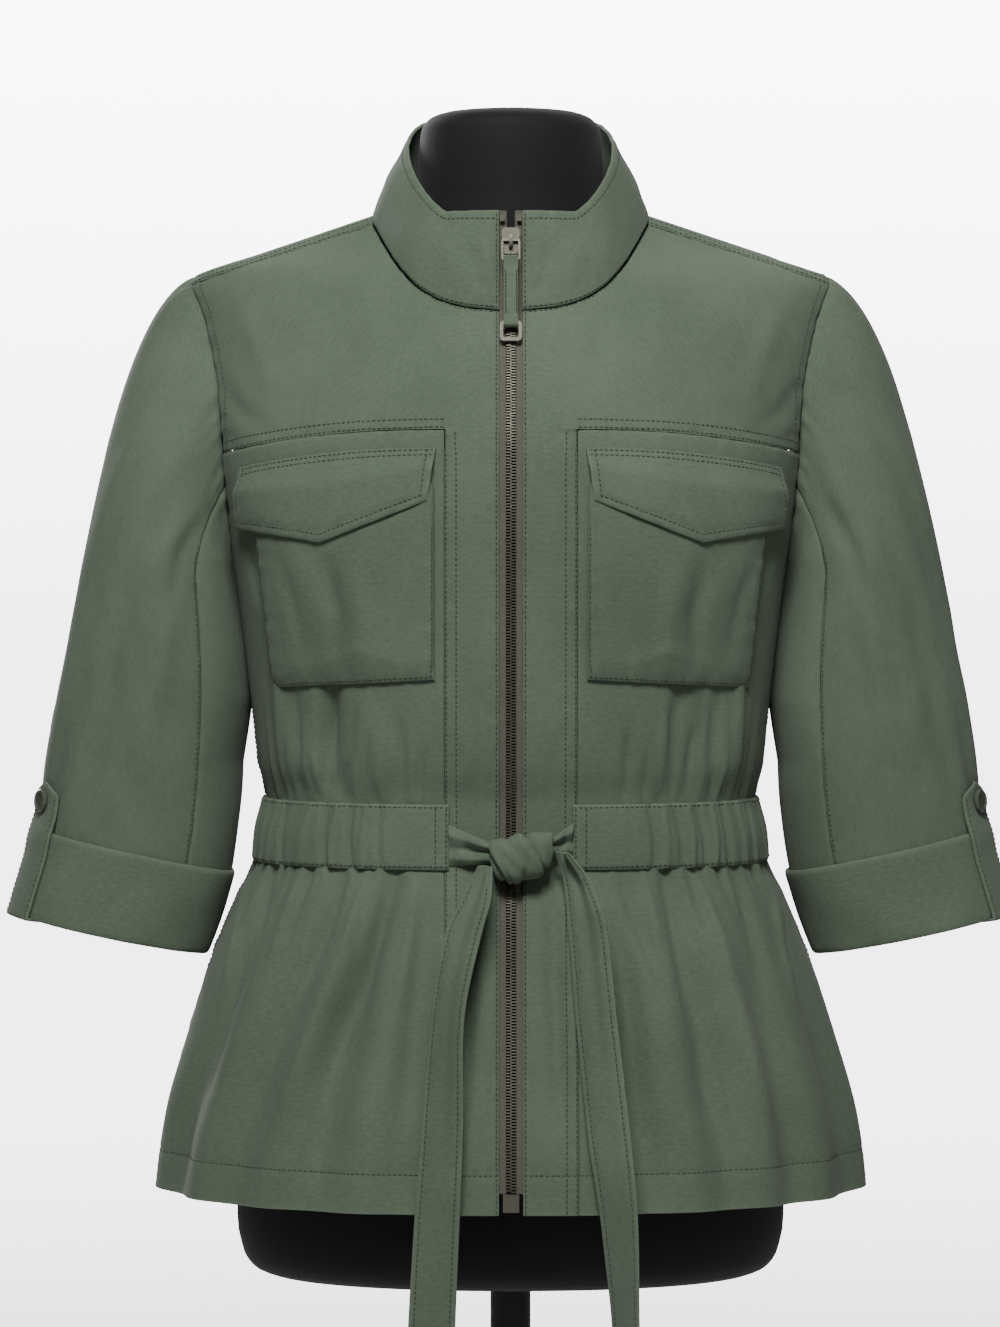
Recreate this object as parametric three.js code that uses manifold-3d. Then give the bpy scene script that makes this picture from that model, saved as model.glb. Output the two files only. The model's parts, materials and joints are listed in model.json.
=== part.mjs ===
import * as THREE from "three";
import Module from "manifold-3d";
import { mergeVertices } from "three/addons/utils/BufferGeometryUtils.js";

// A zipped utility jacket of cotton twill on a limbless dress form with a pole and a round base.
// Millimetres, +Z up. The jacket faces -Y, and +X is the wearer's left.
// The origin is the middle of the base plate's underside.

// Cloth and seams
const CLOTH = 1.6;
const DOUBLED = 2.4;
const SEAM_GAP = 0.3;

// Heights of the jacket
const HEM_Z = 814;
const CASING_LOW = 1022;
const CASING_HIGH = 1063;
const PIT_Z = 1228;
const YOKE_ARM_Z = 1283.4;
const YOKE_FRONT_Z = 1297;

// Centre front
const ZIP_EDGE = 7.5;
const STRIP_EDGE = 41.5;
const CASING_END = 38.5;

// Shoulders and neck: the shoulder line falls in a straight slope from the neck to the tip
const NECK_SIDE = 89.3;
const TIP_X = 206;
const SLOPE_X = 107;
const SLOPE_Z = 1431.7;
const SLOPE = 0.334;
const SEAM_FORWARD_DROP = 6;
const NAPE_RISE = 3.5;

// Horizontal sections of the jacket's body, outer face of the cloth.
// half is half the width, front and back are the depths from the line at y = mid, and power
// is the exponent of the superellipse.
const BODY_RINGS = [
  { z: 814, half: 228, front: 166, back: 163, mid: 0, power: 2.2 },
  { z: 860, half: 222, front: 160, back: 156, mid: 0, power: 2.2 },
  { z: 910, half: 209, front: 151, back: 146, mid: 0, power: 2.2 },
  { z: 960, half: 193, front: 139, back: 133, mid: 0, power: 2.2 },
  { z: 1000, half: 176, front: 125, back: 118, mid: 0, power: 2.2 },
  { z: 1022, half: 165, front: 115, back: 107, mid: 0, power: 2.25 },
  { z: 1042, half: 162, front: 112, back: 102, mid: 0, power: 2.3 },
  { z: 1063, half: 158, front: 111, back: 99, mid: 0, power: 2.3 },
  { z: 1085, half: 163, front: 115, back: 102, mid: 0, power: 2.3 },
  { z: 1120, half: 167, front: 119, back: 104, mid: 1, power: 2.3 },
  { z: 1170, half: 173, front: 123, back: 106, mid: 2, power: 2.3 },
  { z: 1228, half: 181, front: 127, back: 108, mid: 2, power: 2.3 },
  { z: 1281, half: 191, front: 122, back: 108, mid: 3, power: 2.3 },
  { z: 1317, half: 197, front: 112, back: 108, mid: 4, power: 2.3 },
  { z: 1354, half: 203, front: 97, back: 104, mid: 5, power: 2.2 },
  { z: 1373, half: 207, front: 86, back: 99, mid: 5, power: 2.1 },
  { z: 1390, half: 211, front: 72, back: 93, mid: 5, power: 2 },
  { z: 1400, half: 201.9, front: 62, back: 88, mid: 5, power: 1.85 },
  { z: 1412, half: 166, front: 50, back: 81, mid: 5, power: 1.65 },
  { z: 1425, half: 127.1, front: 39, back: 75, mid: 5, power: 1.55 },
  { z: 1437.5, half: 89.6, front: 24, back: 70, mid: 5, power: 1.9 },
  { z: 1446, half: 64.2, front: 14, back: 68, mid: 5, power: 2.1 },
];

// Armhole edge: the cloth's x at each height, on the front and on the back
const ARMHOLE = [
  { z: 1228, front: 181, back: 181 },
  { z: 1231.5, front: 180.4, back: 180.2 },
  { z: 1242, front: 180.8, back: 180.2 },
  { z: 1260, front: 182.2, back: 180.8 },
  { z: 1283.4, front: 184.3, back: 182.4 },
  { z: 1305, front: 185.4, back: 183.4 },
  { z: 1330, front: 188, back: 185.8 },
  { z: 1354, front: 192.6, back: 190.6 },
  { z: 1374, front: 198, back: 196.5 },
  { z: 1386, front: 203, back: 202 },
  { z: 1393, front: 205.8, back: 204.8 },
  { z: 1398.6, front: 206, back: 206 },
];

// Neck seam on the front
const NECK_FRONT = [
  { x: 7.5, z: 1372.5 },
  { x: 25, z: 1374 },
  { x: 41.5, z: 1378 },
  { x: 58, z: 1387 },
  { x: 72, z: 1402 },
  { x: 82, z: 1418 },
  { x: 89.3, z: 1431.6 },
];

// Soft folds of the cloth. turn is 0 at the centre front, 1 and -1 at the sides and 2 at the
// centre back. Each fold runs from the height high at turnHigh down to low at turnLow, rises to
// its depth at peak, and stands out where the depth is positive. wide is in turns.
const FOLDS = [
  { turnHigh: 0, turnLow: 0, high: 1020, peak: 950, low: 830, wide: 0.1, depth: -7 },
  { turnHigh: -0.09, turnLow: -0.1, high: 1018, peak: 850, low: 760, wide: 0.06, depth: 4 },
  { turnHigh: -0.13, turnLow: -0.175, high: 1020, peak: 880, low: 760, wide: 0.045, depth: -6 },
  { turnHigh: -0.2, turnLow: -0.26, high: 1018, peak: 840, low: 740, wide: 0.06, depth: 7 },
  { turnHigh: -0.26, turnLow: -0.37, high: 1020, peak: 900, low: 770, wide: 0.05, depth: -8 },
  { turnHigh: -0.34, turnLow: -0.47, high: 1018, peak: 840, low: 740, wide: 0.06, depth: 6 },
  { turnHigh: -0.41, turnLow: -0.56, high: 1020, peak: 930, low: 780, wide: 0.05, depth: -6 },
  { turnHigh: -0.55, turnLow: -0.67, high: 1018, peak: 840, low: 740, wide: 0.07, depth: 6 },
  { turnHigh: -0.68, turnLow: -0.78, high: 1018, peak: 860, low: 740, wide: 0.055, depth: -6 },
  { turnHigh: -0.82, turnLow: -0.88, high: 1018, peak: 830, low: 740, wide: 0.06, depth: 4 },
  { turnHigh: 0.1, turnLow: 0.11, high: 1018, peak: 850, low: 760, wide: 0.055, depth: 4 },
  { turnHigh: 0.17, turnLow: 0.2, high: 1020, peak: 900, low: 740, wide: 0.05, depth: -7 },
  { turnHigh: 0.27, turnLow: 0.32, high: 1018, peak: 850, low: 740, wide: 0.06, depth: 6 },
  { turnHigh: 0.36, turnLow: 0.39, high: 1020, peak: 900, low: 740, wide: 0.045, depth: -5 },
  { turnHigh: 0.45, turnLow: 0.48, high: 1018, peak: 850, low: 740, wide: 0.05, depth: 7 },
  { turnHigh: 0.54, turnLow: 0.56, high: 1018, peak: 870, low: 740, wide: 0.045, depth: -6 },
  { turnHigh: 0.63, turnLow: 0.65, high: 1018, peak: 850, low: 740, wide: 0.055, depth: 6 },
  { turnHigh: 0.75, turnLow: 0.77, high: 1018, peak: 870, low: 740, wide: 0.055, depth: -6 },
  { turnHigh: 0.86, turnLow: 0.89, high: 1018, peak: 840, low: 740, wide: 0.05, depth: 4 },
  { turnHigh: 1.16, turnLow: 1.14, high: 1018, peak: 860, low: 740, wide: 0.06, depth: -6 },
  { turnHigh: 1.3, turnLow: 1.28, high: 1018, peak: 850, low: 740, wide: 0.06, depth: 6 },
  { turnHigh: 1.43, turnLow: 1.41, high: 1018, peak: 870, low: 740, wide: 0.055, depth: -7 },
  { turnHigh: 1.57, turnLow: 1.56, high: 1018, peak: 850, low: 740, wide: 0.06, depth: 6 },
  { turnHigh: 1.7, turnLow: 1.71, high: 1018, peak: 870, low: 740, wide: 0.055, depth: -6 },
  { turnHigh: 1.86, turnLow: 1.87, high: 1018, peak: 850, low: 740, wide: 0.06, depth: 6 },
  { turnHigh: 2, turnLow: 2, high: 1018, peak: 880, low: 740, wide: 0.05, depth: -5 },
  { turnHigh: -1.14, turnLow: -1.13, high: 1018, peak: 860, low: 740, wide: 0.06, depth: -6 },
  { turnHigh: -1.27, turnLow: -1.26, high: 1018, peak: 850, low: 740, wide: 0.06, depth: 6 },
  { turnHigh: -1.4, turnLow: -1.41, high: 1018, peak: 870, low: 740, wide: 0.055, depth: -7 },
  { turnHigh: -1.56, turnLow: -1.55, high: 1018, peak: 850, low: 740, wide: 0.06, depth: 7 },
  { turnHigh: -1.71, turnLow: -1.7, high: 1018, peak: 870, low: 740, wide: 0.055, depth: -6 },
  { turnHigh: -1.85, turnLow: -1.86, high: 1018, peak: 850, low: 740, wide: 0.06, depth: 5 },
  { turnHigh: -0.47, turnLow: -0.43, high: 1225, peak: 1110, low: 1064, wide: 0.05, depth: -3 },
  { turnHigh: -0.62, turnLow: -0.58, high: 1150, peak: 1090, low: 1064, wide: 0.06, depth: 3 },
  { turnHigh: 0.5, turnLow: 0.46, high: 1200, peak: 1105, low: 1064, wide: 0.05, depth: -3 },
  { turnHigh: 0.66, turnLow: 0.6, high: 1150, peak: 1090, low: 1064, wide: 0.06, depth: 3 },
  { turnHigh: 1.3, turnLow: 1.35, high: 1180, peak: 1100, low: 1064, wide: 0.06, depth: 3 },
  { turnHigh: 1.65, turnLow: 1.7, high: 1200, peak: 1100, low: 1064, wide: 0.06, depth: 3 },
  { turnHigh: -1.35, turnLow: -1.3, high: 1180, peak: 1100, low: 1064, wide: 0.06, depth: 3 },
  { turnHigh: -1.7, turnLow: -1.66, high: 1200, peak: 1100, low: 1064, wide: 0.06, depth: 3 },
];

// Rows of the body's cloth from the hem to the armpit
const LOW_ROWS = [
  HEM_Z, 836, 866, 900, 934, 966, 996, CASING_LOW, 1042.5, CASING_HIGH,
  1086, 1114, 1144, 1172, 1201, PIT_Z,
];
const SIDE_COLUMNS = 13;
const BACK_COLUMNS = 16;
const NECK_COLUMN = 4;

// Collar: where each station leaves the neck seam, and its angle round the collar's top edge
const COLLAR_FRONT = [
  { x: 7.5, topAngle: 4 },
  { x: 25, topAngle: 16 },
  { x: 41.35, topAngle: 29 },
  { x: 58, topAngle: 43 },
  { x: 72, topAngle: 57 },
  { x: 82, topAngle: 69 },
  { x: 89.3, topAngle: 80 },
];
const COLLAR_BACK = [
  { x: 89.3, topAngle: 91 },
  { x: 70, topAngle: 118 },
  { x: 50, topAngle: 138 },
  { x: 27, topAngle: 159 },
];
const COLLAR_HALF = 67;
const COLLAR_MID_Y = 2;
const COLLAR_DEPTH = 74;
const COLLAR_FRONT_TOP = 1436;
const COLLAR_RISE = 70;
const COLLAR_LEVEL_Y = -60;

// Sleeve: sections along its axis for the wearer's left. down is the distance below the armpit
// section, tilt is the axis' outward lean in degrees.
const SLEEVE_RINGS = [
  { down: 0, x: 229.2, y: 5, z: 1203, half: 49.6, depth: 62, tilt: 5 },
  { down: 43, x: 230.4, y: 4, z: 1160, half: 56.6, depth: 60, tilt: 8 },
  { down: 91, x: 234, y: 2, z: 1112, half: 62.5, depth: 57, tilt: 10.5 },
  { down: 133, x: 238, y: 0, z: 1070, half: 65, depth: 53, tilt: 12 },
  { down: 175, x: 243, y: -2, z: 1029, half: 64, depth: 50, tilt: 12.5 },
  { down: 231, x: 259, y: -6, z: 974, half: 62.5, depth: 49, tilt: 12 },
];
const SLEEVE_ROWS = [0, 24, 48, 72, 97, 122, 147, 172, 200, 225];
const CAP_ROWS = [0, 0.16, 0.36, 0.62];
const CAP_PUFF = 0.62;
const SLEEVE_SEAM = 3;
const CUFF_TOP = 175;
const CUFF_BOTTOM = 230;
const CUFF_LIFT = 0.5;

// Sleeve tab and its button
const TAB_ANGLE = 26;
const TAB_SPREAD = 15;
const TAB_ABOVE_CUFF = 32;
const TAB_THICK = 2;
const BUTTON_RADIUS = 7.5;
const BUTTON_HEIGHT = 3;
const BUTTON_DOWN = CUFF_TOP - 19;

// Chest pockets
const POCKET = { inner: 47.5, outerTop: 163, outerLow: 149, top: 1262, low: 1139, stand: 5 };
const FLAP = { inner: 46.5, innerLow: 51, tip: 115, outer: 170 };
const FLAP_TOP_Z = 1285;
const FLAP_OUTER_DROP = 11;
const FLAP_LOW = { inner: 1252, tip: 1227, outer: 1236 };

// Zip
const TEETH_HALF = 3.1;
const TAPE_FAR = 14;
const TAPE_THICK = 0.9;
const TEETH_THICK = 2.4;
const SLIDER_Z = 1416;
const PULL_LENGTH = 66;

// Dress form, pole and base
const FORM_BOTTOM_Z = 756;
const POLE_RADIUS = 13;
const BASE_RADIUS = 190;
const BASE_THICK = 12;

const v3 = (x, y, z) => new THREE.Vector3(x, y, z);
const lerp = (a, b, t) => a + (b - a) * t;
const radians = (degrees) => (degrees * Math.PI) / 180;

// A smooth curve through a table's rows that never swings past them.
function along(rows, at, key, t) {
  const last = rows.length - 1;
  if (t <= rows[0][at]) return rows[0][key];
  if (t >= rows[last][at]) return rows[last][key];
  let i = 0;
  while (rows[i + 1][at] < t) i += 1;
  const slope = (k) => (rows[k + 1][key] - rows[k][key]) / (rows[k + 1][at] - rows[k][at]);
  const tangent = (k) => {
    if (k === 0) return slope(0);
    if (k === last) return slope(last - 1);
    const a = slope(k - 1);
    const b = slope(k);
    return a * b > 0 ? (2 * a * b) / (a + b) : 0;
  };
  const span = rows[i + 1][at] - rows[i][at];
  const u = (t - rows[i][at]) / span;
  const u2 = u * u;
  const u3 = u2 * u;
  return (
    (2 * u3 - 3 * u2 + 1) * rows[i][key] +
    (u3 - 2 * u2 + u) * span * tangent(i) +
    (3 * u2 - 2 * u3) * rows[i + 1][key] +
    (u3 - u2) * span * tangent(i + 1)
  );
}

function ringAt(z) {
  const ring = {};
  for (const key of ["half", "front", "back", "mid", "power"]) {
    ring[key] = along(BODY_RINGS, "z", key, z);
  }
  return ring;
}

// The body before its folds: a superellipse at each height.
function bare(turn, z) {
  const ring = ringAt(z);
  const angle = (turn * Math.PI) / 2;
  const across = Math.sin(angle);
  const ahead = Math.cos(angle);
  const depth = ahead > 0 ? -ring.front : ring.back;
  return v3(
    Math.sign(across) * ring.half * Math.abs(across) ** (2 / ring.power),
    ring.mid + depth * Math.abs(ahead) ** (2 / ring.power),
    z,
  );
}

function bodyNormal(turn, z) {
  const across = bare(turn + 0.01, z).sub(bare(turn - 0.01, z));
  const up = bare(turn, z + 0.5).sub(bare(turn, z - 0.5));
  return across.cross(up).normalize();
}

// How far the folds move the cloth out at a place.
function foldAt(turn, z) {
  let sum = 0;
  for (const fold of FOLDS) {
    if (z >= fold.high || z <= fold.low) continue;
    const fall = (fold.high - z) / (fold.high - fold.low);
    const centre = lerp(fold.turnHigh, fold.turnLow, fall);
    let away = Math.abs(turn - centre);
    away = Math.min(away, 4 - away);
    const rise = z > fold.peak
      ? (fold.high - z) / (fold.high - fold.peak)
      : (z - fold.low) / (fold.peak - fold.low);
    const strength = rise * rise * (3 - 2 * rise);
    sum += fold.depth * strength * Math.exp(-((away / fold.wide) ** 2));
  }
  return sum;
}

function bodyPoint(turn, z, lift = 0) {
  const out = foldAt(turn, z) + lift;
  return bare(turn, z).addScaledVector(bodyNormal(turn, z), out);
}

// The turn at which the body reaches x at a height, on the front or on the back.
function turnOf(x, z, onBack = false) {
  const ring = ringAt(z);
  const share = Math.min(1, Math.abs(x) / ring.half);
  const quarter = (Math.asin(share ** (ring.power / 2)) * 2) / Math.PI;
  return (x < 0 ? -1 : 1) * (onBack ? 2 - quarter : quarter);
}

const onBody = (x, z, lift = 0, onBack = false) => bodyPoint(turnOf(x, z, onBack), z, lift);

const ridgeZ = (x) => SLOPE_Z - SLOPE * (x - SLOPE_X);
const neckFrontZ = (x) => along(NECK_FRONT, "x", "z", x);
const armholeX = (z, side) => along(ARMHOLE, "z", side, z);

function yokeZ(x) {
  const out = Math.max(0, x - STRIP_EDGE) / (armholeX(YOKE_ARM_Z, "front") - STRIP_EDGE);
  return YOKE_FRONT_Z - (YOKE_FRONT_Z - YOKE_ARM_Z) * Math.min(1, out) ** 2.3;
}

// Places on a quarter of a section, closer together towards the side, as equal turns give.
const QUARTER_POWER = 2.3;
function quarterX(share, inner, outer) {
  const first = Math.asin((inner / outer) ** (QUARTER_POWER / 2));
  return outer * Math.sin(lerp(first, Math.PI / 2, share)) ** (2 / QUARTER_POWER);
}

// A closed wall between two grids of points. keep says which cells the cloth has.
function wall(outer, inner, wrap = false, keep = () => true) {
  const rows = outer.length;
  const columns = outer[0].length;
  const points = [];
  for (const grid of [outer, inner]) {
    for (const row of grid) for (const p of row) points.push(p.x, p.y, p.z);
  }
  const at = (layer, i, j) => (layer * rows + i) * columns + (j % columns);
  const across = wrap ? columns : columns - 1;
  const kept = (i, j) => {
    const column = wrap ? (j + columns) % columns : j;
    return i >= 0 && i < rows - 1 && column >= 0 && column < across && keep(i, column);
  };
  const faces = [];
  const quad = (a, b, c, d) => faces.push(a, b, c, a, c, d);
  for (let i = 0; i < rows - 1; i += 1) {
    for (let j = 0; j < across; j += 1) {
      if (!kept(i, j)) continue;
      quad(at(0, i, j), at(0, i, j + 1), at(0, i + 1, j + 1), at(0, i + 1, j));
      quad(at(1, i + 1, j), at(1, i + 1, j + 1), at(1, i, j + 1), at(1, i, j));
      if (!kept(i - 1, j)) quad(at(1, i, j), at(1, i, j + 1), at(0, i, j + 1), at(0, i, j));
      if (!kept(i + 1, j)) {
        quad(at(0, i + 1, j), at(0, i + 1, j + 1), at(1, i + 1, j + 1), at(1, i + 1, j));
      }
      if (!kept(i, j - 1)) quad(at(0, i, j), at(0, i + 1, j), at(1, i + 1, j), at(1, i, j));
      if (!kept(i, j + 1)) {
        quad(at(1, i, j + 1), at(1, i + 1, j + 1), at(0, i + 1, j + 1), at(0, i, j + 1));
      }
    }
  }
  return outwards(new THREE.BufferGeometry()
    .setAttribute("position", new THREE.Float32BufferAttribute(points, 3))
    .setIndex(faces));
}

function signedVolume(geometry) {
  const p = geometry.getAttribute("position");
  const index = geometry.index.array;
  const corner = (k) => v3(p.getX(k), p.getY(k), p.getZ(k));
  let sum = 0;
  for (let i = 0; i < index.length; i += 3) {
    sum += corner(index[i]).dot(corner(index[i + 1]).cross(corner(index[i + 2])));
  }
  return sum;
}

function outwards(geometry) {
  if (signedVolume(geometry) < 0) {
    const index = geometry.index.array;
    for (let i = 0; i < index.length; i += 3) {
      [index[i + 1], index[i + 2]] = [index[i + 2], index[i + 1]];
    }
  }
  geometry.computeVertexNormals();
  return geometry;
}

// Normals of a grid, from its neighbours, turned to point away from a line or point.
function gridNormals(grid, wrap, awayFrom) {
  const rows = grid.length;
  const columns = grid[0].length;
  return grid.map((row, i) => row.map((p, j) => {
    const left = wrap ? (j - 1 + columns) % columns : Math.max(0, j - 1);
    const right = wrap ? (j + 1) % columns : Math.min(columns - 1, j + 1);
    const across = row[right].clone().sub(row[left]);
    const up = grid[Math.min(rows - 1, i + 1)][j].clone().sub(grid[Math.max(0, i - 1)][j]);
    const normal = across.cross(up).normalize();
    const out = p.clone().sub(awayFrom(p));
    return normal.dot(out) < 0 ? normal.negate() : normal;
  }));
}

const moved = (grid, normals, by) =>
  grid.map((row, i) => row.map((p, j) => p.clone().addScaledVector(normals[i][j], by)));

const mirrored = (grid, side) =>
  grid.map((row) => row.map((p) => v3(side * p.x, p.y, p.z)));

const wasm = await Module();
wasm.setup();

function toSolid(geometry) {
  const bareGeometry = new THREE.BufferGeometry()
    .setAttribute("position", geometry.getAttribute("position").clone());
  if (geometry.index) bareGeometry.setIndex(geometry.index.clone());
  const merged = mergeVertices(bareGeometry, 1e-4);
  return new wasm.Manifold(new wasm.Mesh({
    numProp: 3,
    vertProperties: new Float32Array(merged.getAttribute("position").array),
    triVerts: new Uint32Array(merged.index.array),
  }));
}

function fromSolid(solid) {
  const mesh = solid.getMesh();
  const geometry = new THREE.BufferGeometry()
    .setAttribute("position", new THREE.Float32BufferAttribute(mesh.vertProperties, 3))
    .setIndex(Array.from(mesh.triVerts));
  geometry.computeVertexNormals();
  return geometry;
}

const joined = (...geometries) =>
  fromSolid(geometries.map(toSolid).reduce((sum, solid) => sum.add(solid)));

// Colours and finish
const TWILL = { color: 0x667260, roughness: 0.92, metalness: 0 };
const TWILL_SHADE = { color: 0x5d6957, roughness: 0.92, metalness: 0 };
const FORM_CLOTH = { color: 0x202026, roughness: 0.85, metalness: 0 };
const BLACK_METAL = { color: 0x1b1b1d, roughness: 0.45, metalness: 0.8 };
const ZIP_METAL = { color: 0x77705a, roughness: 0.4, metalness: 0.9 };
const ZIP_TAPE = { color: 0x5b5a4b, roughness: 0.9, metalness: 0 };
const BUTTON_HORN = { color: 0x55584a, roughness: 0.5, metalness: 0 };

const jacket = new THREE.Group();
function add(name, geometry, finish) {
  const mesh = new THREE.Mesh(geometry, new THREE.MeshStandardMaterial(finish));
  mesh.name = name;
  jacket.add(mesh);
}

const SIDES = [
  { name: "left", sign: 1 },
  { name: "right", sign: -1 },
];

// Rows between the armpit and the yoke seam, and between the yoke and shoulder seams
const SIDE_ARM_ROWS = ARMHOLE.filter((row) => row.z > PIT_Z && row.z <= YOKE_ARM_Z);
const SEAM_ARM_Z = 1393;
const YOKE_ARM_ROWS = ARMHOLE.filter((row) => row.z >= YOKE_ARM_Z && row.z <= SEAM_ARM_Z);
const BACK_ARM_ROWS = ARMHOLE.filter((row) => row.z > PIT_Z);
const OVER_DROPS = [2.2, SEAM_FORWARD_DROP];

// The cloth wall at a place on the body: its outer and inner points.
function bodyWall(places, keep) {
  const layer = (lift) => places.map((row) => row.map(
    (place) => bodyPoint(place.turn, place.z, lift),
  ));
  return wall(layer(0), layer(-CLOTH), false, keep);
}

// Side front: from the hem to the yoke seam, between the strip and the side seam.
function sideFrontPlaces(sign) {
  const inner = STRIP_EDGE + SEAM_GAP / 2;
  const shares = Array.from({ length: SIDE_COLUMNS + 1 }, (_, j) => j / SIDE_COLUMNS);
  const rows = LOW_ROWS.map((z) => shares.map((share) => {
    const first = turnOf(inner, z);
    const last = 1 - SEAM_GAP / 2 / (ringAt(z).front * 1.5);
    return { turn: sign * lerp(first, last, share), z };
  }));
  for (const arm of SIDE_ARM_ROWS) {
    const climb = (arm.z - PIT_Z) / (YOKE_ARM_Z - PIT_Z);
    rows.push(shares.map((share) => {
      const x = quarterX(share, inner, arm.front);
      const z = PIT_Z + climb * (yokeZ(x) - SEAM_GAP / 2 - PIT_Z);
      return { turn: sign * turnOf(x, z), z };
    }));
  }
  return rows;
}

// Yoke and centre strip in one piece: neck to hem beside the zip, and out over the chest.
const NECK_COLUMNS = COLLAR_FRONT.map((station) => station.x).filter((x) => x > STRIP_EDGE);
const topX = (share) => TIP_X * Math.sin((share * Math.PI) / 2) ** (2 / QUARTER_POWER);
const SHOULDER_COLUMNS = Array.from(
  { length: BACK_COLUMNS - NECK_COLUMN },
  (_, j) => topX((NECK_COLUMN + 1 + j) / BACK_COLUMNS),
);

function centreFrontPlaces(sign) {
  const edge = STRIP_EDGE - SEAM_GAP / 2;
  const tip = armholeX(SEAM_ARM_Z, "front");
  const strip = [ZIP_EDGE, 25, edge];
  const tops = [...NECK_COLUMNS, ...SHOULDER_COLUMNS.map((x) => Math.min(x, tip))];
  const shares = tops.map((x) => (x - edge) / (tip - edge));
  const blank = shares.map(() => ({ turn: 0, z: 0 }));
  const rows = LOW_ROWS.map((z) => [
    ...strip.map((x) => ({ turn: sign * turnOf(x, z), z })),
    ...blank,
  ]);
  for (const arm of SIDE_ARM_ROWS.slice(0, -1)) {
    const climb = (arm.z - PIT_Z) / (YOKE_ARM_Z - PIT_Z);
    const z = lerp(PIT_Z, YOKE_FRONT_Z - SEAM_GAP / 2, climb);
    rows.push([...strip.map((x) => ({ turn: sign * turnOf(x, z), z })), ...blank]);
  }
  const firstYokeRow = rows.length;
  for (const arm of YOKE_ARM_ROWS) {
    const climb = (arm.z - YOKE_ARM_Z) / (SEAM_ARM_Z - YOKE_ARM_Z);
    const place = (x, top) => {
      const low = yokeZ(x) + SEAM_GAP / 2;
      const z = lerp(low, top, climb);
      return { turn: sign * turnOf(x, z), z };
    };
    rows.push([
      ...strip.map((x) => place(x, neckFrontZ(x))),
      ...shares.map((share, j) => place(
        lerp(edge, arm.front, share),
        tops[j] < NECK_SIDE
          ? neckFrontZ(tops[j])
          : ridgeZ(tops[j]) - SEAM_FORWARD_DROP - SEAM_GAP,
      )),
    ]);
  }
  const keep = (i, j) => i >= firstYokeRow || j < strip.length - 1;
  return { rows, keep };
}

// Back: from the hem up over the shoulders to the seam that lies just in front of them.
function backPlaces() {
  const columns = [];
  for (let j = -BACK_COLUMNS; j <= BACK_COLUMNS; j += 1) columns.push(j / BACK_COLUMNS);
  const side = (u) => (u < 0 ? -1 : 1);
  const rows = LOW_ROWS.map((z) => columns.map((u) => {
    const last = 1 - SEAM_GAP / 2 / (ringAt(z).back * 1.5);
    return { turn: side(u) * (2 - Math.abs(u) * last), z };
  }));
  const top = (u) => {
    const x = topX(Math.abs(u));
    const toNeck = NAPE_RISE * (1 - (x / NECK_SIDE) ** 2);
    return Math.abs(u) < NECK_COLUMN / BACK_COLUMNS ? ridgeZ(NECK_SIDE) + toNeck : ridgeZ(x);
  };
  const tipZ = BACK_ARM_ROWS[BACK_ARM_ROWS.length - 1].z;
  for (const arm of BACK_ARM_ROWS) {
    const climb = (arm.z - PIT_Z) / (tipZ - PIT_Z);
    rows.push(columns.map((u) => {
      const x = quarterX(Math.abs(u), 0, arm.back);
      const z = lerp(PIT_Z, top(u), climb);
      return { turn: side(u) * Math.abs(turnOf(x, z, true)), z };
    }));
  }
  const firstOverRow = rows.length - 1;
  for (const drop of OVER_DROPS) {
    rows.push(columns.map((u) => {
      const x = topX(Math.abs(u));
      const z = top(u) - drop;
      return { turn: side(u) * turnOf(x, z), z };
    }));
  }
  const neck = NECK_COLUMN;
  const keep = (i, j) => i < firstOverRow
    || j < BACK_COLUMNS - neck || j >= BACK_COLUMNS + neck;
  return { rows, keep };
}

for (const side of SIDES) {
  const centre = centreFrontPlaces(side.sign);
  add(`front_centre_${side.name}`, bodyWall(centre.rows, centre.keep), TWILL);
  add(`front_side_${side.name}`, bodyWall(sideFrontPlaces(side.sign)), TWILL);
}
const back = backPlaces();
add("back", bodyWall(back.rows, back.keep), TWILL);

// Collar: a band from the neck seam up to its top edge, open at the zip.
function collarTop(topAngle) {
  const angle = radians(topAngle);
  const y = COLLAR_MID_Y - COLLAR_DEPTH * Math.cos(angle);
  const climb = Math.max(0, (y - COLLAR_LEVEL_Y) / (COLLAR_MID_Y + COLLAR_DEPTH - COLLAR_LEVEL_Y));
  return v3(
    COLLAR_HALF * Math.sin(angle) ** 0.8,
    y,
    COLLAR_FRONT_TOP + COLLAR_RISE * (1 - (1 - climb) ** 1.8),
  );
}

function collarStations() {
  const front = COLLAR_FRONT.map((station) => ({
    base: onBody(station.x, neckFrontZ(station.x)),
    top: collarTop(station.topAngle),
  }));
  const ridge = [{ x: NECK_SIDE, z: ridgeZ(NECK_SIDE), topAngle: COLLAR_BACK[0].topAngle }];
  const behind = COLLAR_BACK.slice(1).map((station) => ({
    ...station,
    z: ridgeZ(NECK_SIDE) + NAPE_RISE * (1 - (station.x / NECK_SIDE) ** 2),
  }));
  const nape = { x: 0, z: ridgeZ(NECK_SIDE) + NAPE_RISE, topAngle: 180 };
  const rest = [...ridge, ...behind, nape].map((station) => ({
    base: onBody(station.x, station.z, 0, true),
    top: collarTop(station.topAngle),
  }));
  const half = [...front, ...rest];
  half[0].top.x = ZIP_EDGE;
  return half;
}

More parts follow.
